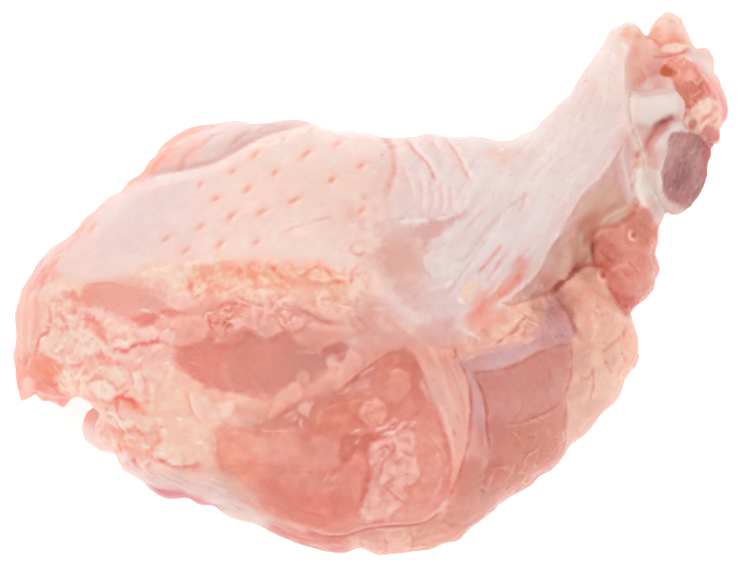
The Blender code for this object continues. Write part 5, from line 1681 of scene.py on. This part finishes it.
def paint_joint(skin):
    """Bare tissue between the white sheath and the bone's end, and the red meat below it."""
    skin.area(BEIGE, (217, 166, 149), 0.97, -0.45, fade=0.25, slope=0.3, ragged=0.1, gloss=0.34)
    skin.line(SHEATH_EDGE[4:], 0.3, (236, 216, 213), 0.6, 0.2, wander=0.08, broken=0.3)
    tissue_zones = (
        ((219, 174, 160), 0.85, 0, 0.6, (604, 176, 620, 156, 628, 166, 622, 184, 606, 192)),
        ((219, 177, 154), 0.85, 0, 0.8, (578, 206, 592, 190, 612, 186, 622, 196, 606, 210, 588, 214)),
        # painted lighter, to lift the shade beside the crevice
        ((228, 190, 170), 0.9, 0, 0.7, (562, 256, 568, 238, 578, 230, 590, 238, 590, 252, 578, 262,
            562, 274, 556, 268)),
        ((220, 162, 146), 0.8, 0, 0.6, (534, 288, 546, 268, 554, 256, 560, 262, 552, 284, 544, 294,
            534, 298)),
        ((206, 150, 128), 0.85, -0.05, 0.6, (586, 218, 604, 207, 620, 206, 612, 216, 598, 224, 590, 222)),
        ((218, 150, 131), 0.85, 0, 0.5, (580, 226, 588, 220, 598, 222, 596, 234, 592, 240, 584, 236)),
        ((220, 176, 156), 0.85, 0.05, 0.5, (600, 222, 614, 212, 632, 202, 640, 204, 630, 212, 614, 220,
            602, 228)),
        ((222, 164, 146), 0.6, -0.05, 0.4, (582, 230, 588, 232, 593, 244, 588, 246, 583, 240)),
    )
    skin.areas(tissue_zones, ragged=0.4)
    skin.mottle(BEIGE, 2.0, (211, 156, 137), (225, 186, 168), 0.3, 0.08, 0.4, seed=36, stretch=(1, 1.8, 1),
        turn=-30)
    tissue_lines = (
        (0.25, (226, 190, 170), 0.6, 0.12, (574, 232, 577, 242, 577, 252)),
        (0.2, (226, 190, 170), 0.6, 0.12, (582, 236, 584, 246, 584, 254)),
        (0.16, (236, 196, 178), 0.7, 0.1, (602, 224, 612, 216, 626, 208)),
        (0.12, (230, 130, 110), 0.7, -0.06, (635, 206, 639, 203, 642, 201)),
        (0.16, (236, 200, 184), 0.6, 0.1, (612, 222, 624, 216, 636, 210)),
    )
    skin.lines(tissue_lines)
    skin.area(JOINT_MEAT, (222, 146, 130), 0.97, 0.2, fade=0.4, slope=0.7, ragged=0.35, gloss=0.26)
    meat_zones = (
        ((210, 138, 117), 0.9, 0, 0.6, (624, 222, 630, 213, 642, 208, 651, 212, 652, 226, 640, 228,
            628, 230)),
        ((217, 136, 112), 0.9, 0, 0.7, (640, 230, 654, 226, 660, 238, 660, 250, 650, 254, 642, 246)),
        ((218, 146, 128), 0.85, 0, 0.7, (644, 256, 658, 254, 662, 270, 656, 290, 644, 298, 642, 276)),
        # painted lighter, to lift the shade beside the crevice
        ((232, 154, 138), 0.8, 0, 0.5, (597, 242, 606, 238, 616, 242, 616, 252, 606, 256, 598, 252)),
        ((214, 128, 112), 0.8, 0, 0.5, (598, 266, 610, 262, 616, 276, 626, 290, 616, 292, 606, 282)),
        ((226, 152, 138), 0.85, 0, 0.8, (612, 248, 632, 242, 642, 256, 642, 276, 630, 286, 616, 270)),
        ((214, 112, 97), 0.9, 0, 0.5, (610, 290, 622, 296, 636, 297, 640, 306, 628, 314, 618, 304)),
        ((215, 150, 130), 0.6, 0, 0.5, (632, 282, 644, 280, 644, 290, 634, 292)),
        ((210, 96, 84), 0.7, 0, 0.4, (624, 302, 632, 300, 632, 310, 627, 314)),
    )
    skin.areas(meat_zones, ragged=0.4)
    skin.mottle(JOINT_MEAT, 1.6, (216, 126, 110), (233, 166, 152), 0.35, 0.1, 0.4, seed=49)
    skin.grain(JOINT_MEAT, -50, 2.6, 0.35, (232, 168, 154), 0.3, 0.03, 0.4, seed=54)
    meat_lines = (
        (0.24, (176, 92, 82), 0.9, -0.5, (552, 294, 558, 287, 564, 282, 571, 276, 577, 270, 584, 266,
            592, 263)),
        (0.2, (178, 92, 84), 0.85, -0.35, (592, 262, 593, 254, 593, 247, 595, 242)),
        (0.4, (210, 138, 122), 0.6, -0.15, (577, 268, 582, 263, 590, 259)),
        (0.16, (214, 110, 94), 0.7, -0.12, (592, 266, 600, 266, 608, 270, 614, 278)),
        (0.16, (212, 100, 84), 0.75, -0.15, (608, 286, 614, 296, 624, 308)),
        (0.1, (214, 104, 88), 0.7, -0.08, (628, 262, 633, 268, 638, 274)),
        (0.1, (214, 104, 88), 0.6, -0.08, (620, 270, 628, 276)),
        (0.12, (208, 110, 92), 0.6, -0.1, (600, 250, 608, 258, 614, 264)),
        (0.12, (208, 108, 92), 0.6, -0.1, (608, 246, 612, 244, 614, 249)),
    )
    skin.lines(meat_lines, broken=0.35)
    # two round holes, each under a pale arc of painted glint
    reach = 0.62
    holes = ((634, 235), (603, 275))
    for x, y in holes:
        u, v = px((x, y))[0]
        skin.dots([(u, v)], reach * 0.5, reach * 0.4, 50, (208, 96, 86), 0.75, -0.2)
        glint_arc = []
        for angle in (130, 170, 210, 250, 290):
            turn = math.radians(angle)
            glint_arc += [x + reach / PIXEL * math.cos(turn), y - 1.15 * reach / PIXEL * math.sin(turn)]
        skin.line(glint_arc, 0.14, (244, 194, 182), 0.85, 0.2, wander=0.02, broken=0.2)


def paint_end(skin):
    """The bone's end: white barrel, red groove, pale rim and the dark cut; the same on bone and flesh."""
    # the barrel, and the film and the fringe under the groove
    end_zones = (
        ((233, 220, 213), 0.97, 0, 0.3, (630, 94, 652, 93, 676, 88, 690, 100, 692, 110, 680, 117, 664, 122,
            652, 131, 640, 132, 628, 134)),
        ((234, 200, 196), 0.85, 0, 0.3, (678, 92, 685, 99, 692, 108, 684, 117, 679, 114)),
        ((222, 184, 180), 0.95, 0.1, 0.35, (628, 124, 645, 126, 650, 130, 644, 144, 636, 158, 634, 202,
            626, 202, 618, 176, 616, 152)),
        ((232, 192, 176), 0.95, 0.1, 0.35, (632, 160, 644, 156, 658, 160, 662, 168, 652, 172, 634, 172)),
        ((236, 226, 217), 0.95, 0.1, 0.45, (634, 170, 650, 168, 660, 174, 660, 196, 648, 206, 638, 202,
            632, 188)),
        ((222, 190, 182), 0.95, 0, 0.5, (650, 196, 668, 200, 690, 202, 696, 208, 690, 220, 660, 224,
            650, 212)),
        ((222, 196, 190), 0.95, 0.1, 0.3, (650, 152, 656, 142, 662, 134, 670, 126, 680, 118, 690, 122,
            688, 130, 676, 134, 668, 143, 660, 154, 658, 162, 650, 160)),
        ((226, 178, 166), 0.8, 0, 0.3, (654, 152, 664, 148, 668, 156, 660, 164, 654, 160)),
        ((220, 152, 142), 0.95, 0, 0.35, (636, 158, 640, 144, 648, 133, 658, 124, 672, 117, 678, 118,
            670, 125, 662, 134, 656, 144, 650, 157)),
    )
    skin.areas(end_zones, ragged=0.25)
    groove_lines = (
        (0.4, (240, 228, 224), 0.7, 0.06, (656, 148, 664, 140, 672, 132, 682, 124)),
        (0.2, (232, 210, 205), 0.7, 0.08, (626, 142, 622, 158, 628, 180, 630, 198)),
        (0.34, (176, 78, 62), 0.95, -0.3, (678, 117, 670, 119, 663, 123, 658, 127)),
        (0.2, (188, 96, 82), 0.55, -0.2, (658, 126, 654, 133, 649, 140, 645, 148, 641, 154)),
        (0.14, (244, 206, 190), 0.7, 0.08, (636, 160, 646, 158, 654, 163)),
        (0.14, (236, 150, 130), 0.6, -0.05, (648, 162, 654, 167, 660, 168)),
    )
    skin.lines(groove_lines, wander=0.06, broken=0.2)
    # the cut: a scalloped rim, purple marrow bone with fine slanting streaks, darkest at its middle
    cut = (
        674, 134, 684, 132, 697, 132, 712, 138, 722, 152, 718, 172, 710, 190, 699, 206, 682, 208, 668, 199,
        660, 186, 661, 174, 665, 160, 669, 147
    )
    skin.area(cut, (180, 120, 116), 0.97, -0.08, fade=0.22, slope=0.35, ragged=0.35, gloss=0.34)
    cut_zones = (
        ((198, 148, 140), 0.8, 0, 0.5, (668, 146, 680, 136, 692, 136, 686, 148, 678, 156, 668, 172,
            663, 168)),
        ((178, 116, 112), 0.8, 0, 0.6, (664, 176, 676, 172, 682, 186, 678, 200, 668, 196)),
        ((160, 92, 96), 0.85, 0, 0.5, (678, 166, 688, 158, 694, 168, 690, 182, 680, 190, 676, 180)),
        ((196, 140, 134), 0.8, 0, 0.5, (692, 150, 704, 152, 706, 170, 698, 186, 694, 176)),
        ((200, 110, 108), 0.95, 0, 0.3, (702, 132, 712, 140, 722, 150, 716, 170, 708, 182, 706, 166,
            704, 148)),
        ((198, 106, 104), 0.7, 0, 0.4, (668, 192, 680, 198, 690, 194, 688, 204, 676, 206)),
    )
    skin.areas(cut_zones, ragged=0.35)
    skin.grain(cut, 66, 1.3, 0.28, (206, 160, 154), 0.35, 0.04, 0.3, seed=97)
    skin.grain(cut, 66, 1.0, 0.26, (140, 80, 84), 0.35, -0.04, 0.3, seed=104, thin=0.13)
    skin.glints(cut, 16, (222, 188, 182), 0.16, 0.07, 66, 0.03, 105, 0.6)
    rim_lines = (
        (0.4, (246, 206, 192), 0.9, 0, (630, 88, 631, 104, 631, 122, 636, 140, 640, 152)),
        (0.4, (238, 214, 206), 0.9, 0, (645, 160, 649, 174, 655, 190, 666, 210)),
        # a thin line of painted light along the seam between flesh and bone, to lift the shade in it
        (0.16, (255, 230, 222), 0.95, 0, (632, 96, 632, 112, 634, 128, 642, 148, 646, 161, 649, 174,
            654, 190, 660, 202, 666, 212)),
        (0.4, (240, 190, 178), 0.9, 0, (680, 116, 686, 120, 692, 126)),
    )
    skin.lines(rim_lines, wander=0.04, broken=0)
    marrow_rim = (666, 150, 660, 166, 658, 184, 666, 200, 680, 207, 692, 203)
    skin.line(marrow_rim, 0.3, (222, 200, 194), 0.7, 0.06, wander=0.1)
    red_rim = (694, 134, 688, 135, 682, 134)
    skin.line(red_rim, 0.14, (208, 96, 84), 0.75, -0.06)


def paint_elbow(skin):
    """Nub, folds, cut muscle and lips round the bone's end."""
    nub_zones = (
        ((242, 210, 196), 0.95, 0, 0.5, (652, 37, 656, 19, 664, 8, 673, 6, 685, 14, 690, 25, 695, 42,
            678, 44, 664, 44)),
        ((245, 188, 165), 0.85, 0, 0.6, (653, 38, 656, 26, 666, 26, 682, 28, 692, 41, 678, 44, 664, 44)),
        ((243, 172, 148), 0.75, 0, 0.4, (654, 38, 668, 34, 678, 32, 684, 42, 672, 44, 662, 44)),
        ((246, 206, 190), 0.9, 0, 0.6, (630, 40, 650, 38, 664, 44, 660, 58, 650, 62, 636, 60)),
        ((233, 206, 198), 0.95, 0, 0.4, (691, 48, 700, 44, 712, 48, 718, 58, 714, 72, 710, 76, 700, 64)),
        ((230, 192, 186), 0.95, 0, 0.4, (686, 46, 696, 52, 706, 66, 716, 84, 710, 84, 698, 68, 684, 54)),
        ((234, 156, 150), 0.95, 0.25, 0.3, (696, 58, 704, 70, 712, 82, 722, 92, 730, 104, 730, 116,
            721, 120, 718, 106, 709, 90, 699, 70)),
    )
    skin.areas(nub_zones, ragged=0.35)
    nub = (654, 37, 656, 16, 673, 8, 690, 25, 693, 42, 664, 44)
    skin.mottle(nub, 1.2, (243, 172, 150), (247, 216, 203), 0.35, 0.06, 0.4, seed=106)
    muscle = (
        668, 62, 676, 57, 688, 57, 698, 65, 706, 76, 710, 90, 704, 102, 692, 108, 682, 100, 676, 88,
        672, 76
    )
    skin.area(muscle, (228, 146, 125), 0.97, -0.1, fade=0.3, gloss=0.26)
    muscle_zones = (
        ((231, 160, 142), 0.9, 0, 0.5, (669, 62, 680, 57, 692, 60, 698, 70, 688, 76, 674, 74)),
        ((219, 136, 116), 0.8, 0, 0.5, (676, 84, 690, 80, 702, 86, 698, 100, 688, 104, 680, 96)),
        # the next three are painted lighter, to lift the shade in the recess beside the bone's end
        ((230, 170, 166), 0.9, 0, 0.4, (648, 70, 656, 62, 666, 62, 664, 74, 652, 76)),
        ((240, 216, 212), 0.95, 0, 0.35, (638, 84, 652, 76, 668, 76, 674, 84, 676, 92, 660, 95, 636, 96)),
        ((236, 196, 192), 0.8, 0, 0.35, (652, 78, 660, 78, 662, 92, 656, 90)),
        ((232, 182, 170), 0.85, 0, 0.4, (656, 54, 670, 52, 690, 52, 686, 57, 670, 58, 658, 62)),
        ((246, 208, 194), 0.97, 0.3, 0.25, (663, 47, 670, 43, 682, 42, 690, 44, 686, 49, 674, 51, 667, 51)),
        ((196, 98, 50), 0.95, 0.12, 0.14, (662, 69, 666, 63, 671, 66, 677, 72, 672, 75, 664, 74)),
        # painted lighter, to lift the shade in the recess
        ((252, 202, 184), 0.85, 0, 0.4, (632, 60, 646, 62, 650, 72, 642, 84, 632, 80)),
        ((240, 158, 134), 0.6, 0, 0.25, (641, 74, 646, 76, 645, 83, 640, 84, 637, 79)),
        ((242, 176, 152), 0.6, 0, 0.3, (634, 47, 640, 45, 642, 52, 637, 56)),
    )
    skin.areas(muscle_zones, ragged=0.25)
    skin.creases(muscle, 1.3, 0.1, (214, 112, 92), (243, 190, 174), 0.5, 0.12, 0.3, seed=38)
    elbow_lines = (
        (0.16, (236, 142, 120), 0.8, -0.12, (670, 52, 676, 53, 684, 51, 690, 47)),
        (0.12, (238, 134, 120), 0.75, -0.1, (656, 55, 666, 55, 678, 54)),
        (0.2, (232, 160, 142), 0.7, -0.2, (652, 35, 658, 39, 664, 43)),
        (0.14, (240, 206, 200), 0.7, 0.1, (690, 56, 697, 66, 704, 78)),
        (0.12, (246, 208, 202), 0.7, 0.1, (704, 74, 712, 86, 719, 98, 721, 112)),
        (0.12, (214, 122, 112), 0.6, -0.1, (694, 62, 701, 74, 708, 86, 712, 96)),
        (0.4, (238, 186, 170), 0.8, 0.08, (682, 80, 690, 76, 700, 74)),
        (0.16, (228, 146, 122), 0.6, -0.08, (676, 84, 680, 94, 686, 102)),
        (0.16, (234, 120, 100), 0.6, -0.06, (698, 100, 706, 96, 711, 98)),
    )
    skin.lines(elbow_lines, broken=0.3)
    dark_spot = (668, 68)
    skin.spots(dark_spot, 0.3, 0.15, -30, (160, 76, 40), 0.7)
    # a pale line of painted light over the step where the flesh meets the bone, to lift the shade in it
    lit_seam_line = (629, 42, 625, 62, 626, 90, 627, 124, 635, 139, 643, 150)
    skin.line(lit_seam_line, 0.3, (255, 226, 217), 0.85, 0.05, wander=0.02, broken=0)
    fat = (684, 120, 688, 112, 698, 104, 708, 96, 717, 100, 721, 112, 718, 124, 706, 134, 694, 131)
    skin.area(fat, (235, 196, 179), 0.97, 0.15, fade=0.3, slope=0.5, ragged=0.3)
    skin.mottle(fat, 1.1, (230, 168, 150), (242, 214, 200), 0.5, 0.12, 0.3, seed=39)
    fat_zones = (
        ((208, 124, 110), 0.85, -0.05, 0.25, (690, 121, 696, 119, 698, 125, 694, 129, 689, 127)),
        ((210, 126, 122), 0.95, 0, 0.3, (702, 128, 708, 124, 718, 128, 722, 136, 716, 142, 706, 138)),
        # a painted highlight on the fat
        ((242, 218, 206), 0.7, 0.08, 0.3, (700, 104, 708, 99, 712, 108, 704, 112)),
    )
    skin.areas(fat_zones, ragged=0.2)
    fat_lines = (
        (0.16, (220, 110, 90), 0.8, -0.12, (684, 116, 688, 111, 691, 107)),
        (0.14, (236, 112, 96), 0.8, -0.06, (703, 120, 707, 117, 710, 114)),
        (0.14, (232, 112, 98), 0.7, -0.06, (711, 124, 714, 121)),
        (0.12, (244, 216, 204), 0.7, 0.1, (700, 130, 704, 124, 708, 118)),
    )
    skin.lines(fat_lines, wander=0.05, broken=0.2)


def paint_back(skin):
    """The hidden side: skin with follicles, thin fat showing through and a few folds."""
    skin.turn(-1, 0.42)
    seen = skin.seen
    skin.tint(seen, (241, 210, 200), 0.95)
    skin.tint(seen * eased(0.5 + rough_noise(skin.points, 11, 3, 91)), (243, 196, 182), 0.6)
    skin.tint(seen * eased(0.3 + rough_noise(skin.points, 6, 3, 92)), (235, 211, 206), 0.6)
    random = np.random.default_rng(7)
    follicles = [(u + random.uniform(-1, 1), v + random.uniform(-0.8, 0.8))
                 for u in np.arange(-38, 8, 3.9) for v in np.arange(-22, 18, 3.4)]
    skin.dots(follicles, 1.0, 0.6, 20, (245, 194, 173), 0.5, -0.06)
    skin.dots(follicles, 0.5, 0.22, 24, (239, 165, 142), 0.7, -0.12)
    everywhere = (-60, -60, 820, -60, 820, 640, -60, 640)
    skin.grain(everywhere, 25, 5, 0.8, (230, 190, 182), 0.35, 0.06, seed=93, thin=0.12)
    back_folds = (430, 600, 460, 480, 560, 380, 560, 250, 640, 180, 760, 200, 700, 600)
    skin.creases(back_folds, 3.2, 0.2, (230, 160, 142), (245, 214, 202), 0.5, 0.2, 3, seed=94)
    skin.turn(1)


# ---------------------------------------------------------------- the scene

def flesh_piece():
    """The flesh with its tunnel filled, so that it closes round the bone, painted and thinned."""
    body = face_copy("flesh")
    inverse = Matrix.Rotation(-LEAN, 4, "X")
    start = inverse @ BONE_START
    end = inverse @ BONE_END
    add_limb(body, start.lerp(end, PLUG_FROM), start.lerp(end, PLUG_TO), PLUG_RADIUS)
    add_inset(body, "bone", BONE_INSET)
    onto = BVHTree.FromBMesh(body)
    mesh = remeshed("skin_and_meat", body, FLESH_GRID)
    keep_largest(mesh)
    relax(mesh, 3)
    for least in SPLIT_PAST:
        refined(mesh, least, onto)
    pushed(mesh, PUSHES)
    skin = Layers(mesh, SKIN_TONE)
    paint_back(skin)
    paint_skin(skin)
    skin.area(MEAT_SIDE, MEAT_TONE, fade=0.8, ragged=0.6)
    for paint in (paint_fat, paint_flap, paint_band, paint_windows, paint_below, paint_right, paint_oval,
                  paint_joint, paint_neck, paint_end, paint_elbow):
        paint(skin)
    skin.rise += FINE_GRAIN * rough_noise(skin.points, 1.2, 2, 95)
    # painted shade in the pits of the relief and painted light on its bumps
    skin.flush(edge_ends(mesh), rounds=20, strength=2.2)
    skin.apply(RELIEF_SHARE)
    return thinned(mesh, skin.detail(edge_ends(mesh)), MOST_TRIANGLES)


def bone_piece():
    """The bone, painted where its ends look out of the flesh."""
    mesh = remeshed("bone_ends", face_copy("bone"), BONE_GRID)
    relax(mesh, 5)
    pushed(mesh, PUSHES)
    bone = Layers(mesh, BONE_TONE)
    paint_end(bone)
    end_zones = (
        ((224, 190, 184), 0.95, 0, 0.35, (640, 84, 652, 76, 668, 76, 674, 84, 676, 92, 660, 95, 638, 96)),
        # the head at the lower left, painted lighter to lift the shade that falls on it
        ((255, 190, 180), 0.95, 0, 0.9, (70, 395, 92, 396, 112, 406, 114, 424, 84, 426)),
        ((248, 214, 206), 0.9, 0, 0.9, (70, 430, 100, 426, 115, 436, 110, 460, 74, 456)),
    )
    bone.areas(end_zones)
    head_glint = (111, 410, 111, 416, 109, 423)
    bone.line(head_glint, 0.18, (252, 240, 236), 0.8, 0.05)
    bone.apply()
    return mesh


def build():
    """Both pieces of the part."""
    moist = moist_material("skin_and_meat", mottle=0.04, grain=0.06, scatter=0.75, bump=0.25)
    hard = moist_material("bone_ends", mottle=0.03, grain=0.04, scatter=0.3, bump=0.12)
    flesh_mesh = flesh_piece()
    bone_mesh = bone_piece()
    add_piece("skin_and_meat", flesh_mesh, moist, ["flesh"])
    add_piece("bone_ends", bone_mesh, hard, ["bone"])


def stage():
    """The white floor, the light and the camera."""
    floor_mesh = bpy.data.meshes.new("floor")
    size = 3.0
    corners = [(-size, -size, 0), (size, -size, 0), (size, size, 0), (-size, size, 0)]
    floor_mesh.from_pydata(corners, [], [(0, 1, 2, 3)])
    floor = add_object("floor", floor_mesh)
    white = bpy.data.materials.new("floor")
    white.use_nodes = True
    set_inputs(white.node_tree.nodes["Principled BSDF"], {
        "Base Color": (0.92, 0.92, 0.92, 1),
        "Roughness": 0.9,
        "Specular IOR Level": 0.1,
        "Emission Color": (1, 1, 1, 1),
        "Emission Strength": 0.4,
    })
    floor_mesh.materials.append(white)

    world = bpy.data.worlds.new("studio")
    bpy.context.scene.world = world
    world.use_nodes = True
    set_inputs(world.node_tree.nodes["Background"], {"Color": (1, 1, 1, 1), "Strength": 0.8})

    turn = Matrix.Rotation(-BONE_TURN, 4, "Z")
    for name, place, size, power in (
        ("key", (-0.25, 0.35, 0.55), 0.35, 0.6),
        ("fill", (0.35, -0.3, 0.6), 0.5, 0.4),
        ("glint", (0.05, 0.15, 0.6), 0.05, 0.2),
    ):
        light = bpy.data.lights.new(name, "AREA")
        light.size = size
        light.energy = power
        lamp = add_object(name, light)
        lamp.location = turn @ Vector(place)
        lamp.rotation_euler = (-lamp.location).to_track_quat("-Z", "Y").to_euler()

    lens = bpy.data.cameras.new("camera")
    camera = add_object("camera", lens)
    lens.sensor_width = SENSOR
    lens.lens = SENSOR * CAMERA_DISTANCE / FRAME_WIDTH
    lens.clip_start = 0.01
    lens.clip_end = 10
    spot = PLACE @ Vector((0, 0, AIM_DEPTH + CAMERA_DISTANCE))
    camera.matrix_world = Matrix.Translation(spot) @ PLACE.to_3x3().normalized().to_4x4()
    bpy.context.scene.camera = camera
    bpy.context.scene.view_settings.view_transform = "Standard"


build()
stage()
